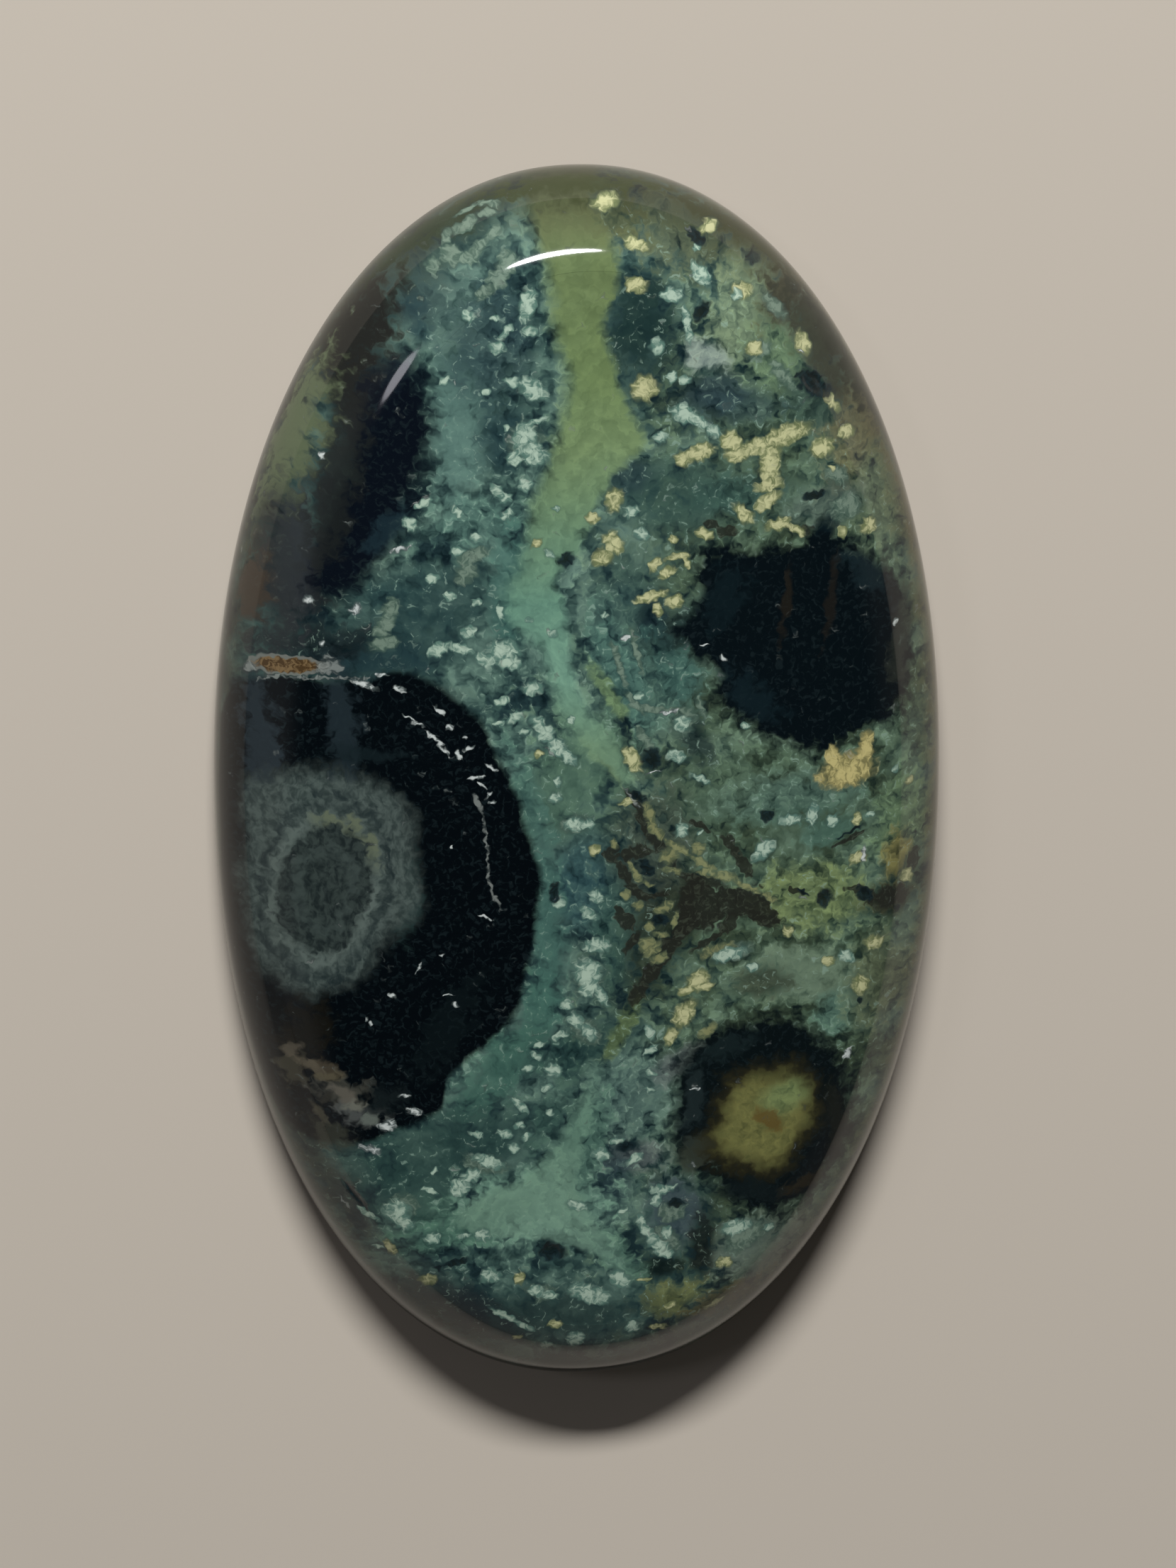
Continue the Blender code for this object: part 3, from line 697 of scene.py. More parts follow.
def cut_to_oval(blank, half_width, half_length):
    """Moves each point of the round blank to its place in the oval, at the same height."""
    for vert in blank.verts:
        radius = math.hypot(vert.co.x, vert.co.y)
        if radius > SMALLEST_GAP:
            angle = math.atan2(vert.co.y, vert.co.x)
            vert.co.xy = oval_point(angle, half_width - radius, half_width, half_length)


def pit_reach(point, pit):
    """How far the point is from a pit's middle, where 1 is the pit's edge."""
    x, y, long, wide, turn, _ = pit
    offset = Vector((point.x / MM - x, point.y / MM - y))
    offset.rotate(Matrix.Rotation(-math.radians(turn), 2))
    return math.hypot(offset.x / long, offset.y / wide)


def verts_around(stone, pit):
    """The crown's points close to a pit."""
    x, y = pit[0] * MM, pit[1] * MM
    return [
        vert
        for vert in stone.verts
        if abs(vert.co.x - x) < PIT_SURROUND
        and abs(vert.co.y - y) < PIT_SURROUND
        and vert.co.z > LOWEST_PIT
    ]


def edges_in(verts, pit):
    """The edges among these points that lie in a pit or just round it."""
    # A dict holds them once each, as a set would, but keeps their order.
    touched = dict.fromkeys(edge for vert in verts for edge in vert.link_edges)
    return [
        edge for edge in touched if all(pit_reach(end.co, pit) < FINER_OUT_TO for end in edge.verts)
    ]


def open_pits(stone):
    """Sinks the small open pits into the crown, where the mesh is first made finer."""
    for pit in PITS_MM:
        edges = edges_in(verts_around(stone, pit), pit)
        bmesh.ops.subdivide_edges(stone, edges=edges, cuts=2, use_grid_fill=True)
        depth = pit[5] * MM
        for vert in verts_around(stone, pit):
            share = (PIT_WALL_STARTS - pit_reach(vert.co, pit)) / PIT_WALL_WIDTH
            share = min(max(share, 0.0), 1.0)
            vert.co.z -= depth * share * share * (3 - 2 * share)


class Palette:
    """Adds nodes to one node tree, each linked to what it reads, and hands back its output."""

    def __init__(self, tree):
        self.tree = tree

    def put(self, value, socket):
        if isinstance(value, bpy.types.NodeSocket):
            self.tree.links.new(value, socket)
        elif value is not None:
            socket.default_value = value

    def node(self, kind, **settings):
        node = self.tree.nodes.new(kind)
        for name, value in settings.items():
            setattr(node, name, value)
        return node

    def math(self, operation, a, b=None, c=None):
        node = self.node("ShaderNodeMath", operation=operation)
        for value, socket in zip((a, b, c), node.inputs):
            self.put(value, socket)
        return node.outputs[0]

    def vector(self, operation, a, b=None):
        node = self.node("ShaderNodeVectorMath", operation=operation)
        self.put(a, node.inputs[0])
        self.put(b, node.inputs[1])
        return node.outputs["Vector"]

    def scaled(self, a, factor):
        node = self.node("ShaderNodeVectorMath", operation="SCALE")
        self.put(a, node.inputs[0])
        self.put(factor, node.inputs["Scale"])
        return node.outputs["Vector"]

    def parts(self, vector):
        node = self.node("ShaderNodeSeparateXYZ")
        self.put(vector, node.inputs[0])
        return node.outputs

    def spot(self, vector, x, y, long, wide, turn):
        """How near a spot's middle a point is: 1 in the middle, a half on its edge, 0 far away."""
        node = self.node("ShaderNodeTexGradient", gradient_type="SPHERICAL")
        node.texture_mapping.vector_type = "TEXTURE"
        node.texture_mapping.translation = (x, y, 0)
        node.texture_mapping.rotation = (0, 0, math.radians(turn))
        node.texture_mapping.scale = (2 * long, 2 * wide, 2)
        self.put(vector, node.inputs["Vector"])
        return node.outputs["Fac"]

    def flattened(self, vector, scale=(1.0, 1.0)):
        """The same point with no height, for markings that run straight down into the stone."""
        node = self.node("ShaderNodeMapping", vector_type="POINT")
        self.put(vector, node.inputs["Vector"])
        node.inputs["Scale"].default_value = (*scale, 0)
        return node.outputs[0]

    def noise(self, vector, scale, detail=2.0, roughness=0.5, colour=False, dimensions="2D"):
        node = self.node("ShaderNodeTexNoise", noise_dimensions=dimensions)
        self.put(vector, node.inputs["Vector"])
        node.inputs["Scale"].default_value = scale
        node.inputs["Detail"].default_value = detail
        node.inputs["Roughness"].default_value = roughness
        return node.outputs["Color" if colour else "Fac"]

    def bands(self, value, scale, detail=2.0, roughness=0.5):
        """Uneven bands along a value."""
        node = self.node("ShaderNodeTexNoise", noise_dimensions="1D")
        self.put(value, node.inputs["W"])
        node.inputs["Scale"].default_value = scale
        node.inputs["Detail"].default_value = detail
        node.inputs["Roughness"].default_value = roughness
        return node.outputs["Fac"]

    def ease(self, value, start, end, low=0.0, high=1.0):
        """Goes smoothly from low at start to high at end."""
        node = self.node("ShaderNodeMapRange", interpolation_type="SMOOTHSTEP", clamp=False)
        for given, socket in zip((value, start, end, low, high), node.inputs):
            self.put(given, socket)
        return node.outputs[0]

    def line(self, value, start, end, low=0.0, high=1.0):
        """Goes evenly from low at start to high at end."""
        node = self.node("ShaderNodeMapRange", clamp=False)
        for given, socket in zip((value, start, end, low, high), node.inputs):
            self.put(given, socket)
        return node.outputs[0]

    def mix(self, share, a, b, blend="MIX"):
        node = self.node("ShaderNodeMix", data_type="RGBA", blend_type=blend)
        self.put(share, node.inputs[0])
        self.put(a, node.inputs[6])
        self.put(b, node.inputs[7])
        return node.outputs[2]

    def curve(self, value, points):
        """A curve through (0 to 1, 0 to 1) points."""
        node = self.node("ShaderNodeFloatCurve")
        self.put(value, node.inputs["Value"])
        drawn = node.mapping.curves[0]
        points = sorted(points)
        drawn.points[0].location = points[0]
        drawn.points[1].location = points[-1]
        for point in points[1:-1]:
            drawn.points.new(*point)
        for point in drawn.points:
            point.handle_type = "AUTO_CLAMPED"
        node.mapping.update()
        return node.outputs[0]

    def ramp(self, value, stops):
        """A colour for each place between 0 and 1."""
        node = self.node("ShaderNodeValToRGB")
        self.put(value, node.inputs[0])
        ramp = node.color_ramp
        stops = sorted(stops)
        ramp.elements[0].position, ramp.elements[0].color = stops[0]
        ramp.elements[1].position, ramp.elements[1].color = stops[-1]
        for place, colour in stops[1:-1]:
            ramp.elements.new(place).color = colour
        return node.outputs[0]

    def patch(self, x, y, outline):
        """The distance in mm outside a patch's edge, less than 0 inside it."""
        centre, edge = outline
        across = self.math("SUBTRACT", x, centre[0])
        along = self.math("SUBTRACT", y, centre[1])
        share = self.line(self.math("ARCTAN2", along, across), -math.pi, math.pi)
        polar = []
        for point in edge:
            dx, dy = point[0] - centre[0], point[1] - centre[1]
            polar.append((math.atan2(dy, dx) / math.tau + 0.5, math.hypot(dx, dy)))
        polar.sort()
        widest = max(radius for _, radius in polar)
        first, last = polar[0], polar[-1]
        gap = first[0] + 1 - last[0]
        seam = last[1] + (first[1] - last[1]) * (1 - last[0]) / gap
        points = [(0.0, seam / widest), *[(a, r / widest) for a, r in polar], (1.0, seam / widest)]
        radius = self.curve(share, points)
        squares = self.math("MULTIPLY_ADD", along, along, self.math("MULTIPLY", across, across))
        return self.math("MULTIPLY_ADD", radius, -widest, self.math("SQRT", squares))

    def placed_group(self, group, **inputs):
        """One of the smaller groups of markings, with these inputs, by name."""
        node = self.node("ShaderNodeGroup", node_tree=group)
        for name, value in inputs.items():
            self.put(value, node.inputs[name])
        return node.outputs[0]


def group_sockets(group, inputs, outputs):
    """Gives a node group its named inputs, as (name, kind, default), and outputs."""
    for name, kind, default in inputs:
        socket = group.interface.new_socket(name=name, in_out="INPUT", socket_type=kind)
        if default is not None:
            socket.default_value = default
    for name, kind in outputs:
        group.interface.new_socket(name=name, in_out="OUTPUT", socket_type=kind)


def place_along(y):
    """How far up the stone y is, from 0 at its foot to 1 at its head."""
    return (y + HALF_LENGTH_MM) / (2 * HALF_LENGTH_MM)


def place_across(x):
    """How far across the stone x is, from 0 at its left to 1 at its right."""
    return (x + HALF_WIDTH_MM) / (2 * HALF_WIDTH_MM)


def make_fleck_group(name, spots):
    """A node group that says how near the nearest of many flecks is: a half is a fleck's edge."""
    group = bpy.data.node_groups.new(name, "ShaderNodeTree")
    group_sockets(group, [("Vector", "NodeSocketVector", None)], [("Nearness", "NodeSocketFloat")])
    p = Palette(group)
    given = p.node("NodeGroupInput")
    found = None
    for spot in spots:
        here = p.spot(given.outputs["Vector"], *spot)
        found = here if found is None else p.math("MAXIMUM", found, here)
    made = p.node("NodeGroupOutput")
    p.put(found, made.inputs["Nearness"])
    return group


def make_tint_group(name, tints):
    """A node group that lays soft-edged tints over a colour."""
    group = bpy.data.node_groups.new(name, "ShaderNodeTree")
    inputs = [
        ("Vector", "NodeSocketVector", None),
        ("Color", "NodeSocketColor", paint("3a5650")),
        ("Wander", "NodeSocketFloat", 0.0),
    ]
    group_sockets(group, inputs, [("Color", "NodeSocketColor")])
    p = Palette(group)
    given = p.node("NodeGroupInput")
    colour = given.outputs["Color"]
    for x, y, long, wide, turn, tint, strength in tints:
        near = p.spot(given.outputs["Vector"], x, y, long * TINT_SPREAD, wide * TINT_SPREAD, turn)
        near = p.math("ADD", near, given.outputs["Wander"])
        share = p.ease(near, TINT_STARTS, TINT_IS_FULL, 0.0, strength)
        colour = p.mix(share, colour, paint(tint))
    made = p.node("NodeGroupOutput")
    p.put(colour, made.inputs["Color"])
    return group


class Markings(Palette):
    """The stone's markings, laid one over the other from the ground to the finest flecks. Each
    method from ground on takes the colour so far and hands it back with its own markings."""

    def __init__(self, tree):
        super().__init__(tree)
        self.given = self.node("NodeGroupInput").outputs
        mm = self.carried_round(self.scaled(self.given["Vector"], 1 / MM))

        # Wavers, from broad to fine, that keep every edge below from being a drawn line.
        broad = self.waver(mm, 0.42, 0.0, 0.5)
        small = self.waver(mm, 2.1, 1.0, 0.3)
        ragged = self.waver(mm, 4.2, 0.0, 0.2)
        wavered = self.vector("ADD", mm, self.vector("ADD", broad, small))
        torn_out = self.vector("ADD", mm, ragged)
        stirred = self.vector("ADD", wavered, ragged)
        self.flat = self.flattened(wavered)
        self.torn = self.flattened(torn_out)
        self.x, self.y, _ = self.parts(wavered)
        self.torn_x, self.torn_y, _ = self.parts(torn_out)

        # Clouds, blots and specks, and the two roughnesses that are made of them.
        cloud = self.noise(stirred, 0.5, 3.0, 0.55)
        self.blot = self.noise(stirred, 1.6, 2.0, 0.5)
        self.fine = self.noise(stirred, 4.2, 2.0, 0.6)
        blotted = self.math("SUBTRACT", self.blot, 0.5)
        self.speckled = self.math("SUBTRACT", self.fine, 0.5)
        self.rough_edge = self.math("MULTIPLY_ADD", self.speckled, 0.3, blotted)

        # How far outside each black area a point is. The left orb's edge is cleaner than the rest.
        x, y = self.x, self.y
        self.beyond_upper = self.beyond(x, y, UPPER_PATCH_MM, 0.9)
        clean_x, clean_y, _ = self.parts(self.vector("ADD", mm, self.scaled(broad, 0.5)))
        self.beyond_left = self.beyond(clean_x, clean_y, LEFT_ORB_MM, 0.3)
        self.beyond_right = self.beyond(x, y, RIGHT_ORB_MM, 1.3)
        self.beyond_ring = self.beyond(x, y, RING_ORB_MM, 1.3)

        # The bands that run round them all, and how light the ground is.
        shell = self.math("MINIMUM", self.beyond_left, self.beyond_right)
        shell = self.math("MINIMUM", shell, self.beyond_ring)
        band = self.bands(self.math("MULTIPLY_ADD", cloud, 2.5, shell), 2.2, 2.0, 0.6)
        self.tone = self.math("MULTIPLY_ADD", blotted, 0.5, cloud)
        self.blotted = blotted
        self.band = band

    def carried_round(self, mm):
        """The point, in mm, where the markings are read. Below the girdle's top they carry on
        outwards, so that none of them runs straight down the edge; and over the back they lean,
        so that it cuts them elsewhere."""
        x, y, z = self.parts(mm)
        across = self.math("ABSOLUTE", self.math("DIVIDE", x, HALF_WIDTH_MM))
        across = self.math("POWER", across, OVAL_POWER)
        along = self.math("ABSOLUTE", self.math("DIVIDE", y, HALF_LENGTH_MM))
        along = self.math("POWER", along, OVAL_POWER)
        self.ratio = self.math("ADD", across, along)
        outwards = self.vector("NORMALIZE", self.vector("MULTIPLY", mm, (1.0, 0.35, 0.0)))
        fall = self.math("MAXIMUM", self.math("SUBTRACT", CARRIED_BELOW_MM, z), 0.0)
        fall = self.math("MULTIPLY", fall, self.ease(self.ratio, 0.4, 0.85))
        outwards = self.scaled(outwards, fall)
        lean = self.noise(mm, 0.07, 0.0, colour=True)
        lean = self.vector("MULTIPLY", lean, (5.0, 6.0, 0.0))
        behind = self.math("MULTIPLY", self.ease(z, 1.5, 0.0), self.ease(self.ratio, 1.0, 0.3))
        lean = self.scaled(self.vector("SUBTRACT", lean, (1.0, 5.0, 0.0)), behind)
        return self.vector("ADD", mm, self.vector("ADD", outwards, lean))

    def waver(self, mm, scale, detail, reach):
        """A vector that wanders from place to place, over about this reach in mm."""
        wander = self.noise(mm, scale, detail, colour=True)
        return self.scaled(self.vector("SUBTRACT", wander, (0.5, 0.5, 0.5)), reach)

    def beyond(self, x, y, outline, roughness):
        """How many mm outside a patch's roughened edge a point is, less than 0 inside it."""
        return self.math("MULTIPLY_ADD", self.rough_edge, roughness, self.patch(x, y, outline))

    def ground(self, tints, calm_places):
        """The ground: clouds of four tones with their broad tints, mottled, banded and speckled,
        but less so in the calm places, and sown with small pale grains."""
        tones = self.ramp(
            self.tone,
            [
                (0.32, paint("1e3134")),
                (0.44, paint("314845")),
                (0.55, paint("455e57")),
                (0.7, paint("5e796e")),
            ],
        )
        deep = self.mix(1.0, tones, self.given["Ground"], "OVERLAY")
        self.wander = self.math("MINIMUM", self.math("MULTIPLY", self.rough_edge, 0.85), WANDER_CAP)
        colour = self.placed_group(tints, Vector=self.flat, Color=deep, Wander=self.wander)

        grit = self.math("MULTIPLY_ADD", self.blotted, 1.45, 0.52)
        grit = self.math("MULTIPLY_ADD", self.speckled, 0.7, grit)
        grit = self.math("MULTIPLY_ADD", self.math("SUBTRACT", self.band, 0.5), 0.8, grit)
        self.shade = self.ramp(
            grit,
            [
                (0.0, (0.16, 0.19, 0.21, 1.0)),
                (0.5, (0.5, 0.5, 0.5, 1.0)),
                (1.0, (0.84, 0.81, 0.75, 1.0)),
            ],
        )
        calm = self.ease(self.placed_group(calm_places, Vector=self.flat), 0.3, 0.65, 1.0, 0.35)
        colour = self.mix(calm, colour, self.shade, "OVERLAY")

        grains = self.ease(self.fine, 0.57, 0.72)
        patches = self.ease(self.blot, 0.46, 0.6, 0.0, 0.55)
        sown = self.math("MULTIPLY", grains, patches)
        return self.mix(sown, colour, paint("829c8e"))

    def vein_edge(self, up, side):
        """How far across a side of the vein is, in mm, this far up the stone."""
        points = [(place_along(row[0]), place_across(row[side])) for row in VEIN_EDGES_MM]
        return self.line(self.curve(up, points), 0, 1, -HALF_WIDTH_MM, HALF_WIDTH_MM)

    def vein(self, colour):
        """The pale vein that runs down the stone, with a softer left side than right."""
        up = self.line(self.y, -HALF_LENGTH_MM, HALF_LENGTH_MM)
        left = self.vein_edge(up, 1)
        in_left = self.math("SUBTRACT", self.x, left)
        in_left = self.math("MULTIPLY_ADD", self.rough_edge, 0.7, in_left)
        in_left = self.ease(in_left, -0.45, 0.6)
        right = self.vein_edge(up, 2)
        in_right = self.math("SUBTRACT", right, self.x)
        in_right = self.math("MULTIPLY_ADD", self.rough_edge, 0.45, in_right)
        in_right = self.ease(in_right, -0.22, 0.36)
        inside = self.math("MULTIPLY", in_left, in_right)
        vein_paint = self.ramp(up, [(place_along(y), paint(code)) for y, code in VEIN_COLOURS])
        vein_paint = self.mix(0.28, vein_paint, self.shade, "OVERLAY")
        vein_paint = self.mix(1.0, vein_paint, self.given["Vein"], "MULTIPLY")
        cover = self.ease(self.y, -17.0, -13.0, 0.6, 0.95)
        return self.mix(self.math("MULTIPLY", inside, cover), colour, vein_paint)

    def rim(self, colour):
        """Painted reflection and painted shade: the stone is painted darker and browner towards its
        rim, for the brown surroundings reflected in its edge and the shade there.
        """
        outer = self.math("MULTIPLY_ADD", self.rough_edge, 0.25, self.ratio)
        # Painted reflection and shade: darkest brown on the left, olive-brown on the right.
        rim_reflection_and_shade_colours = [
            (0.0, paint("1f1b12")),
            (0.35, paint("2b3023")),
            (0.65, paint("363726")),
            (1.0, paint("4d4122")),
        ]
        rim_reflection_and_shade_paint = self.ramp(self.line(self.x, -HALF_WIDTH_MM, HALF_WIDTH_MM), rim_reflection_and_shade_colours)
        return self.mix(self.ease(outer, 0.78, 1.03, 0.0, 0.88), colour, rim_reflection_and_shade_paint)

    def black_areas(self, colour, tints):
        """The four black areas, dusted with paler grains, and the tints laid over them, among which
        are painted reflections and painted shade.
        """
        dust = self.ease(self.fine, 0.5, 0.72, 0.0, 0.5)
        for beyond, soft, code in (
            (self.beyond_upper, 0.75, "080e16"),
            (self.beyond_left, 0.16, "04090d"),
            (self.beyond_right, 0.4, "070f13"),
            (self.beyond_ring, 0.5, "0a1214"),
        ):
            black = self.mix(dust, paint(code), paint("1a2528"))
            colour = self.mix(self.ease(beyond, soft, -soft * 1.6), colour, black)
        mottling = self.math("MINIMUM", self.rough_edge, MOTTLING_CAP)
        return self.placed_group(tints, Vector=self.flat, Color=colour, Wander=mottling)

    def near_line(self, value, line, wide, thin, cover=1.0):
        """A mask that is full on a line of this value and nothing this wide of it."""
        off = self.math("ABSOLUTE", self.math("SUBTRACT", value, line))
        return self.ease(off, wide, thin, 0.0, cover)

    def grey_heart(self, colour):
        """The grey heart of the left orb, with its oval rings."""
        heart = self.beyond(self.x, self.y, GREY_HEART_MM, 0.8)
        fibre = self.noise(self.flattened(self.flat, (1.25, 0.95)), 2.6, 2.0, 0.65)
        grey = self.mix(self.ease(fibre, 0.28, 0.72), paint("323d3b"), paint("4d5955"))
        colour = self.mix(self.ease(heart, 0.25, -0.9, 0.0, 0.94), colour, grey)
        ring = self.spot(self.flat, -10.85, -2.7, 3.0, 1.93, 78)
        ring = self.math("MULTIPLY_ADD", self.rough_edge, 0.2, ring)
        ring = self.math("MULTIPLY_ADD", ring, -2.0, 2.0)
        dim = self.mix(self.ease(fibre, 0.3, 0.7), paint("12191b"), paint("28312f"))
        colour = self.mix(self.ease(ring, 1.08, 0.86, 0.0, 0.75), colour, dim)
        ring_line = self.near_line(ring, 1.0, 0.13, 0.02)
        gilt = self.ease(self.spot(self.flat, -9.5, 0.0, 1.5, 1.0, -40), 0.1, 0.6)
        ring_paint = self.mix(gilt, paint("56625d"), paint("5b6452"))
        fade = self.ease(self.blot, 0.34, 0.6, 0.35, 0.95)
        colour = self.mix(self.math("MULTIPLY", ring_line, fade), colour, ring_paint)
        inner = self.math("MULTIPLY", self.near_line(ring, 0.55, 0.17, 0.03, 0.6), fade)
        colour = self.mix(inner, colour, paint("3f4a47"))
        crescent = self.math("MULTIPLY", self.near_line(ring, 1.26, 0.15, 0.02, 0.75), fade)
        return self.mix(crescent, colour, paint("1b2628"))

    def olive_disc(self, colour):
        """The olive disc and brown nucleus of the ring orb."""
        disc = self.beyond(self.x, self.y, OLIVE_DISC_MM, 1.0)
        colour = self.mix(self.ease(disc, 0.75, -0.2, 0.0, 0.85), colour, paint("2c2a1a"))
        sunny = self.ease(self.spot(self.flat, 7.9, -12.0, 1.3, 1.0, 20), 0.4, 0.85)
        olive = self.mix(sunny, paint("67683e"), paint("6a784e"))
        olive = self.mix(0.6, olive, self.shade, "OVERLAY")
        colour = self.mix(self.ease(disc, 0.15, -0.75, 0.0, 0.96), colour, olive)
        nucleus = self.math("ADD", self.spot(self.flat, 7.25, -13.05, 0.8, 0.45, -50), self.wander)
        return self.mix(self.ease(nucleus, 0.4, 0.75, 0.0, 0.8), colour, paint("564523"))

    def brown(self, colour, brown_seams):
        """The brown wedge and the seams that run from it."""
        pale = self.ease(self.fine, 0.5, 0.74, 0.0, 0.7)
        brown = self.mix(pale, self.given["Seam"], paint("3a4035"))
        wedge = self.beyond(self.torn_x, self.torn_y, BROWN_WEDGE_MM, 1.2)
        colour = self.mix(self.ease(wedge, 0.3, -0.15, 0.0, 0.95), colour, brown)
        seams = self.placed_group(brown_seams, Vector=self.torn)
        self.seams = self.math("MULTIPLY_ADD", self.rough_edge, 1.0, seams)
        return self.mix(self.ease(self.seams, 0.37, 0.56, 0.0, 0.9), colour, brown)

    def lens(self, colour):
        """The lens of brown with a grey outline, high on the left."""
        lens = self.spot(self.torn, -12.1, 6.4, 1.45, 0.36, 3)
        lens = self.math("MULTIPLY_ADD", self.rough_edge, 0.2, lens)
        colour = self.mix(self.ease(lens, 0.42, 0.5, 0.0, 0.8), colour, paint("6d706a"))
        lens_paint = self.mix(self.ease(self.fine, 0.42, 0.6), paint("43331f"), paint("6d5a3e"))
        return self.mix(self.ease(lens, 0.54, 0.62), colour, lens_paint)

    def flecks(self, colour, group, bright, dull, cover, bed, tear):
        """Flecks with torn edges, each dull at its edge and brighter inside, in a darker bed.
        Hands back (the colour, how near the nearest fleck is)."""
        near = self.placed_group(group, Vector=self.torn)
        near = self.math("MULTIPLY_ADD", self.rough_edge, tear, near)
        if bed:
            colour = self.mix(self.ease(near, 0.15, 0.42, 0.0, bed), colour, paint("1b2f33"))
        lit = self.math("MULTIPLY_ADD", self.speckled, 1.4, near)
        share = self.ease(near, 0.28, 0.57, 0.0, cover)
        fleck_paint = self.mix(self.ease(lit, 0.34, 0.98), dull, bright)
        return self.mix(share, colour, fleck_paint), near


def make_kambaba_pattern():
    """The markings of the stone, as a node group: its colour, and how dull its polish is."""
    group = bpy.data.node_groups.new("Kambaba pattern", "ShaderNodeTree")
    group_sockets(
        group,
        [
            ("Vector", "NodeSocketVector", None),
            ("Ground", "NodeSocketColor", (0.5, 0.5, 0.5, 1.0)),
            ("Vein", "NodeSocketColor", paint("ffffff")),
            ("Fleck", "NodeSocketColor", paint("a5baa8")),
            ("Tan fleck", "NodeSocketColor", paint("b7b88c")),
            ("Seam", "NodeSocketColor", paint("22241f")),
        ],
        [("Color", "NodeSocketColor"), ("Softness", "NodeSocketFloat")],
    )
    ground_tints = make_tint_group("Ground tints", GROUND_TINTS_MM)
    orb_tints_reflections_and_shade = make_tint_group("Orb tints, painted reflections and shade", ORB_TINTS_REFLECTIONS_AND_SHADE_MM)
    calm_places = make_fleck_group("Calm places", CALM_MM)
    brown_seams = make_fleck_group("Brown seams", BROWN_SEAMS_MM)

    m = Markings(group)
    colour = m.ground(ground_tints, calm_places)
    colour = m.vein(colour)
    colour = m.rim(colour)
    colour = m.black_areas(colour, orb_tints_reflections_and_shade)
    colour = m.grey_heart(colour)
    colour = m.olive_disc(colour)
    colour = m.brown(colour, brown_seams)
    colour = m.lens(colour)
    mint, tan = m.given["Fleck"], m.given["Tan fleck"]
    for name, flecks, bright, dull, cover, bed, tear in (
        ("Sage flecks", SAGE_FLECKS_MM, paint("6f8273"), paint("465b50"), 0.85, 0.25, 0.6),
        ("Olive flecks", OLIVE_FLECKS_MM, paint("85885f"), paint("566148"), 0.8, 0.2, 0.6),
        ("Tan flecks", TAN_FLECKS_MM, tan, paint("6b7450"), 0.95, 0.3, 0.4),
        ("Yellow crown", YELLOW_CROWN_MM, paint("b5ab74"), paint("77734c"), 1.0, 0.2, 0.6),
        ("Mint flecks", MINT_FLECKS_MM, mint, paint("56756a"), 0.92, 0.3, 0.4),
        ("Dark holes", DARK_HOLES_MM, paint("0c1517"), paint("17262a"), 0.95, 0.0, 0.9),
        ("Crack and painted highlights", CRACK_AND_HIGHLIGHTS_MM, paint("7f8581"), paint("343c3c"), 0.7, 0.0, 1.4),
        ("Glints", GLINTS_MM, paint("c2c9c6"), paint("4d5756"), 0.9, 0.0, 0.9),
    ):
        fleck_group = make_fleck_group(name, flecks)
        colour, near = m.flecks(colour, fleck_group, bright, dull, cover, bed, tear)
        if flecks is DARK_HOLES_MM:
            hollow = m.ease(near, 0.45, 0.6)

    made = m.node("NodeGroupOutput")
    m.put(colour, made.inputs["Color"])
    softness = m.math("MULTIPLY_ADD", m.ease(m.seams, 0.4, 0.65), 0.3, hollow)
    m.put(softness, made.inputs["Softness"])
    return group


def jasper_material(name, pattern, settings, roughness, relief):
    """The stone's colour and shine, with this roughness and this much relief."""
    material = bpy.data.materials.new(name)
    material.use_nodes = True
    tree = material.node_tree
    p = Palette(tree)
    shader = tree.nodes["Principled BSDF"]
    place = p.node("ShaderNodeTexCoord").outputs["Object"]
    marks = p.node("ShaderNodeGroup", node_tree=pattern)
    p.put(place, marks.inputs["Vector"])
    marks.inputs["Ground"].default_value = (*settings.ground_colour, 1.0)
    marks.inputs["Fleck"].default_value = (*settings.fleck_colour, 1.0)
    marks.inputs["Seam"].default_value = (*settings.seam_colour, 1.0)
    p.put(marks.outputs["Color"], shader.inputs["Base Color"])
    dullest = roughness + 0.15
    rough = p.line(marks.outputs["Softness"], 0.0, 1.0, roughness, dullest)
    p.put(rough, shader.inputs["Roughness"])
    shader.inputs["IOR"].default_value = 1.54
    shader.inputs["Specular IOR Level"].default_value = 0.38
    if relief:
        bump = p.node("ShaderNodeBump")
        bump.inputs["Strength"].default_value = relief
        bump.inputs["Distance"].default_value = 0.05 * MM
        p.put(p.noise(place, 260.0, 0.0, dimensions="3D"), bump.inputs["Height"])
        p.put(bump.outputs[0], shader.inputs["Normal"])
    return material


def make_floor_material(colour):
    material = bpy.data.materials.new("pale_floor")
    material.use_nodes = True
    shader = material.node_tree.nodes["Principled BSDF"]
    shader.inputs["Base Color"].default_value = (*colour, 1.0)
    shader.inputs["Roughness"].default_value = 0.9
    return material


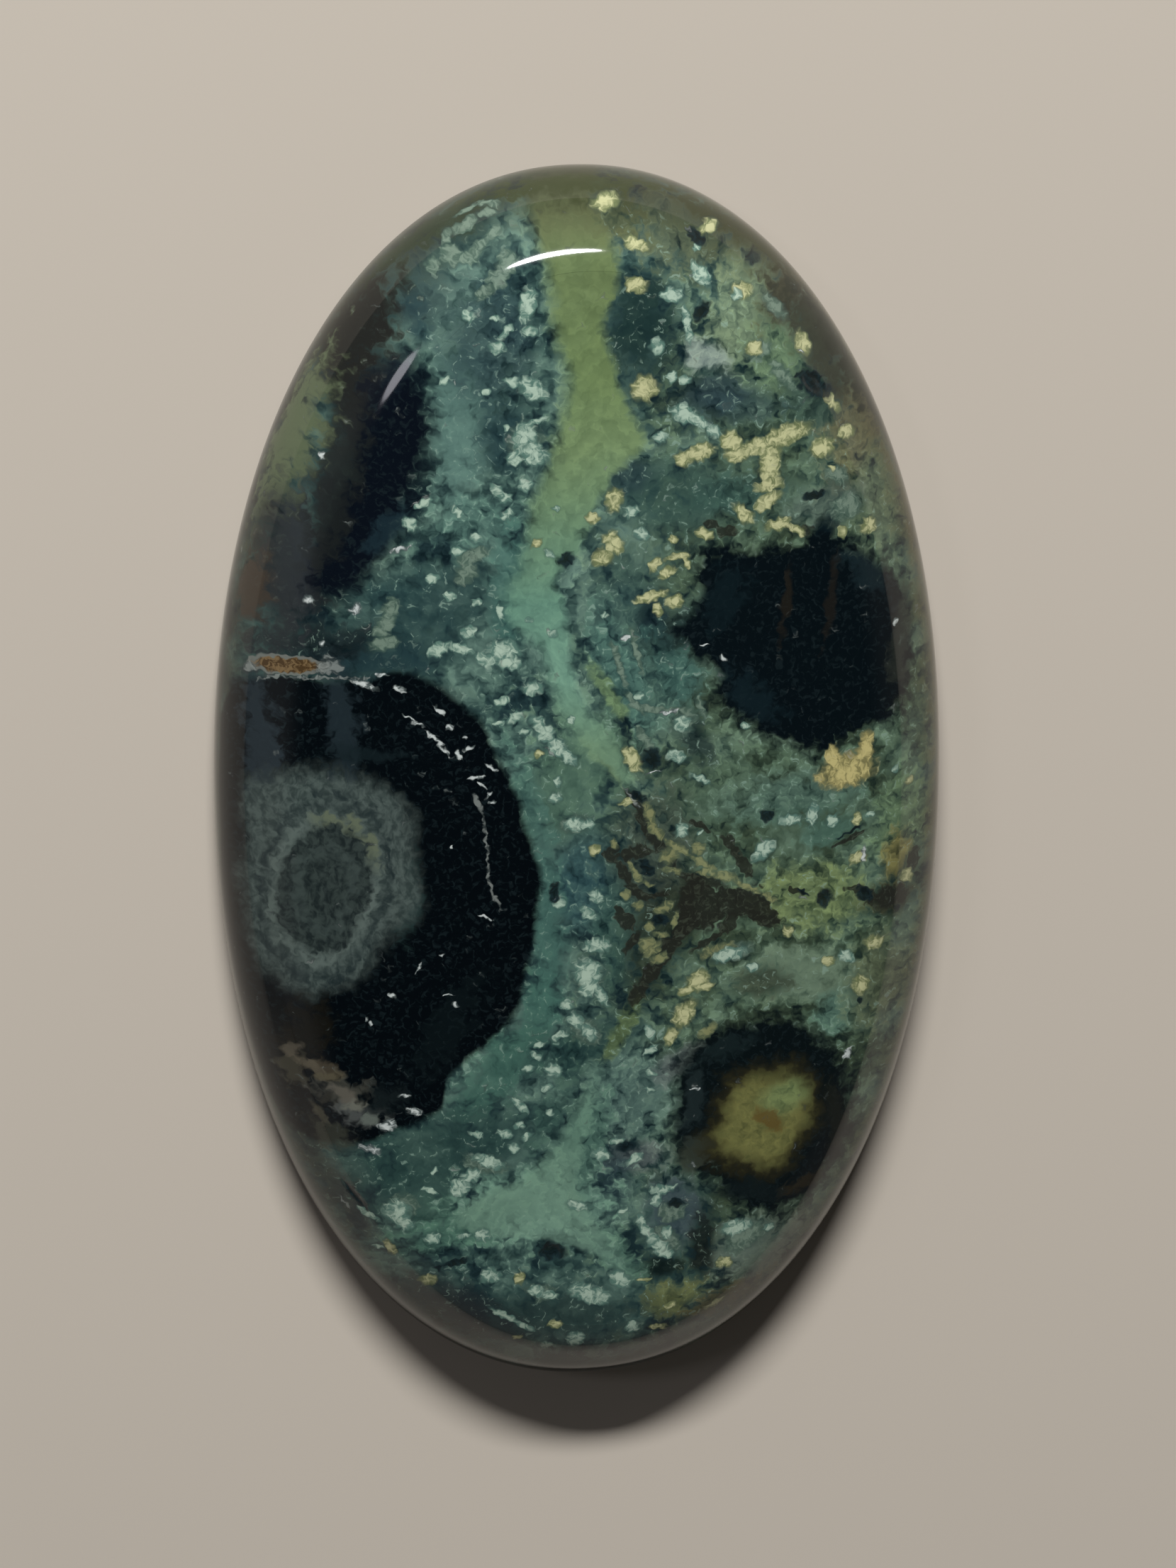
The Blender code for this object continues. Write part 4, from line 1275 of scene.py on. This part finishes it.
class StoneSettings(bpy.types.PropertyGroup):
    """The size, finish and colours of the stone."""

    length: bpy.props.FloatProperty(
        name="Length", description="Length of the oval", default=STONE_LENGTH, unit="LENGTH"
    )
    width: bpy.props.FloatProperty(
        name="Width", description="Width of the oval", default=STONE_WIDTH, unit="LENGTH"
    )
    thickness: bpy.props.FloatProperty(
        name="Thickness",
        description="Height of the crown's middle over the back",
        default=STONE_THICKNESS,
        unit="LENGTH",
    )
    polish: bpy.props.FloatProperty(
        name="Polish roughness",
        description="Roughness of the polished crown; lower is glossier",
        default=0.07,
        min=0.0,
        max=1.0,
        subtype="FACTOR",
    )
    back_roughness: bpy.props.FloatProperty(
        name="Back roughness",
        description="Roughness of the ground back",
        default=0.38,
        min=0.0,
        max=1.0,
        subtype="FACTOR",
    )
    ground_colour: bpy.props.FloatVectorProperty(
        name="Ground",
        description="Shift in the green ground's colour; middle grey leaves it as it is",
        default=(0.5, 0.5, 0.5),
        subtype="COLOR",
        size=3,
        min=0.0,
        max=1.0,
    )
    fleck_colour: bpy.props.FloatVectorProperty(
        name="Flecks",
        description="Colour of the pale green flecks",
        default=paint("a5baa8")[:3],
        subtype="COLOR",
        size=3,
        min=0.0,
        max=1.0,
    )
    seam_colour: bpy.props.FloatVectorProperty(
        name="Seams",
        description="Colour of the brown seams",
        default=paint("22241f")[:3],
        subtype="COLOR",
        size=3,
        min=0.0,
        max=1.0,
    )


class StudioSettings(bpy.types.PropertyGroup):
    """The floor, lights and camera that the stone is shown with."""

    floor_colour: bpy.props.FloatVectorProperty(
        name="Floor",
        description="Colour of the plain floor",
        default=(0.49, 0.44, 0.375),
        subtype="COLOR",
        size=3,
        min=0.0,
        max=1.0,
    )
    floor_size: bpy.props.FloatProperty(
        name="Floor size", description="Width of the floor", default=3.0, unit="LENGTH"
    )
    brightness: bpy.props.FloatProperty(
        name="Brightness",
        description="Multiplies the strength of the tent and of every lamp",
        default=1.0,
        min=0.0,
        subtype="FACTOR",
    )


class CABOCHON_OT_make_stone(bpy.types.Operator):
    """Make the polished stone"""

    bl_idname = "cabochon.make_stone"
    bl_label = "Make the stone"

    def execute(self, context):
        settings = context.scene.cabochon_stone
        half_width = settings.width / 2
        half_length = settings.length / 2
        stone = turned_blank(half_width, settings.thickness)
        cut_to_oval(stone, half_width, half_length)
        open_pits(stone)
        for face in stone.faces:
            face.smooth = True
            if face.calc_center_median().z < BACK_FACES_BELOW:
                face.material_index = 1
        mesh = bpy.data.meshes.new("polished_stone")
        stone.to_mesh(mesh)
        stone.free()
        mesh.set_sharp_from_angle(angle=SHARP_EDGE)
        pattern = make_kambaba_pattern()
        for name, roughness, relief in (
            ("polished_jasper", settings.polish, 0.0),
            ("ground_jasper", settings.back_roughness, 0.6),
        ):
            mesh.materials.append(jasper_material(name, pattern, settings, roughness, relief))
        piece = bpy.data.objects.new("polished_stone", mesh)
        context.scene.collection.objects.link(piece)
        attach(piece, "root")
        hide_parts("cabochon")
        return {"FINISHED"}


# The lamps: (name, power in watts, (width, height), place, colour).
LAMPS = [
    ("key_strip", 3.95, (0.235, 0.055), (-0.034, 0.405, 0.338), (1.0, 1.0, 1.0)),
    ("left_window", 0.15, (0.08, 0.12), (-0.365, 0.205, 0.42), (0.93, 0.92, 1.0)),
]

# How strong the light tent is overhead and at its sides, and what share of it the right side has.
TENT_OVERHEAD = 0.012
TENT_SIDES = 0.19
TENT_RIGHT = 0.45

# The camera's tilt towards the head end, its swing to the left, its roll, its distance from what
# it aims at, and what that is.
CAMERA_TILT = math.radians(14.5)
CAMERA_SWING = math.radians(7.0)
CAMERA_ROLL = math.radians(-0.12)
CAMERA_DISTANCE = 0.1768
CAMERA_AIM = Vector((0.05, 0.74, 3.5)) * MM


def add_lamp(scene, name, power, size, place, aim, colour):
    """A soft oval lamp at a place, turned towards what it lights. Size is (wide, high)."""
    light = bpy.data.lights.new(name, "AREA")
    light.shape = "ELLIPSE"
    light.size, light.size_y = size
    light.energy = power
    light.color = colour
    lamp = bpy.data.objects.new(name, light)
    scene.collection.objects.link(lamp)
    lamp.location = place
    lamp.rotation_mode = "QUATERNION"
    lamp.rotation_quaternion = (Vector(place) - Vector(aim)).to_track_quat("Z", "Y")
    return lamp


class CABOCHON_OT_make_studio(bpy.types.Operator):
    """Make the floor, the lamps and the camera"""

    bl_idname = "cabochon.make_studio"
    bl_label = "Make the studio"

    def execute(self, context):
        scene = context.scene
        settings = scene.cabochon_studio
        self.make_floor(scene, settings)
        self.make_lamps(scene, settings.brightness)
        self.make_camera(scene)
        scene.world = self.make_tent(settings.brightness)
        scene.view_settings.view_transform = "Standard"
        return {"FINISHED"}

    def make_floor(self, scene, settings):
        floor = bmesh.new()
        bmesh.ops.create_grid(floor, x_segments=8, y_segments=8, size=settings.floor_size / 2)
        mesh = bpy.data.meshes.new("floor")
        floor.to_mesh(mesh)
        floor.free()
        mesh.materials.append(make_floor_material(settings.floor_colour))
        piece = bpy.data.objects.new("floor", mesh)
        scene.collection.objects.link(piece)

    def make_tent(self, brightness):
        """A soft light from all sides, dimmer to the right, and dark overhead so that the crown
        shows no glare."""
        world = bpy.data.worlds.new("light_tent")
        world.use_nodes = True
        p = Palette(world.node_tree)
        background = world.node_tree.nodes["Background"]
        aim = p.node("ShaderNodeTexCoord").outputs["Generated"]
        side = p.ease(p.parts(aim)[2], 0.84, 0.3, TENT_OVERHEAD, TENT_SIDES * brightness)
        away = p.ease(p.parts(aim)[0], -0.1, 0.9, 1.0, TENT_RIGHT)
        p.put(p.math("MULTIPLY", side, away), background.inputs["Strength"])
        background.inputs["Color"].default_value = (1.0, 0.98, 0.95, 1.0)
        return world

    def make_lamps(self, scene, brightness):
        aim = (0.0, 0.0, STONE_THICKNESS / 2)
        for name, power, size, place, colour in LAMPS:
            add_lamp(scene, name, power * brightness, size, place, aim, colour)

    def make_camera(self, scene):
        """The camera looks down on the stone from a little to the head end and the left."""
        back = Vector(
            (
                -math.sin(CAMERA_SWING) * math.cos(CAMERA_TILT),
                math.sin(CAMERA_TILT),
                math.cos(CAMERA_SWING) * math.cos(CAMERA_TILT),
            )
        ).normalized()
        level = (-back).cross(Vector((0, 1, 0))).normalized()
        upright = level.cross(-back)
        right = level * math.cos(CAMERA_ROLL) + upright * math.sin(CAMERA_ROLL)
        up = upright * math.cos(CAMERA_ROLL) - level * math.sin(CAMERA_ROLL)
        data = bpy.data.cameras.new("camera")
        data.lens = 100.0
        data.sensor_width = 36.0
        data.clip_start = 0.01
        data.clip_end = 20.0
        camera = bpy.data.objects.new("camera", data)
        scene.collection.objects.link(camera)
        turned = Matrix((right, up, back)).transposed().to_4x4()
        camera.matrix_world = Matrix.Translation(CAMERA_AIM + back * CAMERA_DISTANCE) @ turned
        scene.camera = camera


class CABOCHON_PT_panel(bpy.types.Panel):
    """Buttons and settings for the cabochon."""

    bl_idname = "CABOCHON_PT_panel"
    bl_label = "Cabochon"
    bl_space_type = "VIEW_3D"
    bl_region_type = "UI"
    bl_category = "Cabochon"

    def draw(self, context):
        layout = self.layout
        for settings, operator in (
            (context.scene.cabochon_stone, CABOCHON_OT_make_stone.bl_idname),
            (context.scene.cabochon_studio, CABOCHON_OT_make_studio.bl_idname),
        ):
            box = layout.box()
            for name in settings.__annotations__:
                box.prop(settings, name)
            box.operator(operator)


CLASSES = (
    StoneSettings,
    StudioSettings,
    CABOCHON_OT_make_stone,
    CABOCHON_OT_make_studio,
    CABOCHON_PT_panel,
)


def register():
    for item in CLASSES:
        bpy.utils.register_class(item)
    bpy.types.Scene.cabochon_stone = bpy.props.PointerProperty(type=StoneSettings)
    bpy.types.Scene.cabochon_studio = bpy.props.PointerProperty(type=StudioSettings)


def unregister():
    del bpy.types.Scene.cabochon_studio
    del bpy.types.Scene.cabochon_stone
    for item in reversed(CLASSES):
        bpy.utils.unregister_class(item)


def main():
    register()
    bpy.ops.cabochon.make_stone()
    bpy.ops.cabochon.make_studio()


if __name__ == "__main__":
    main()
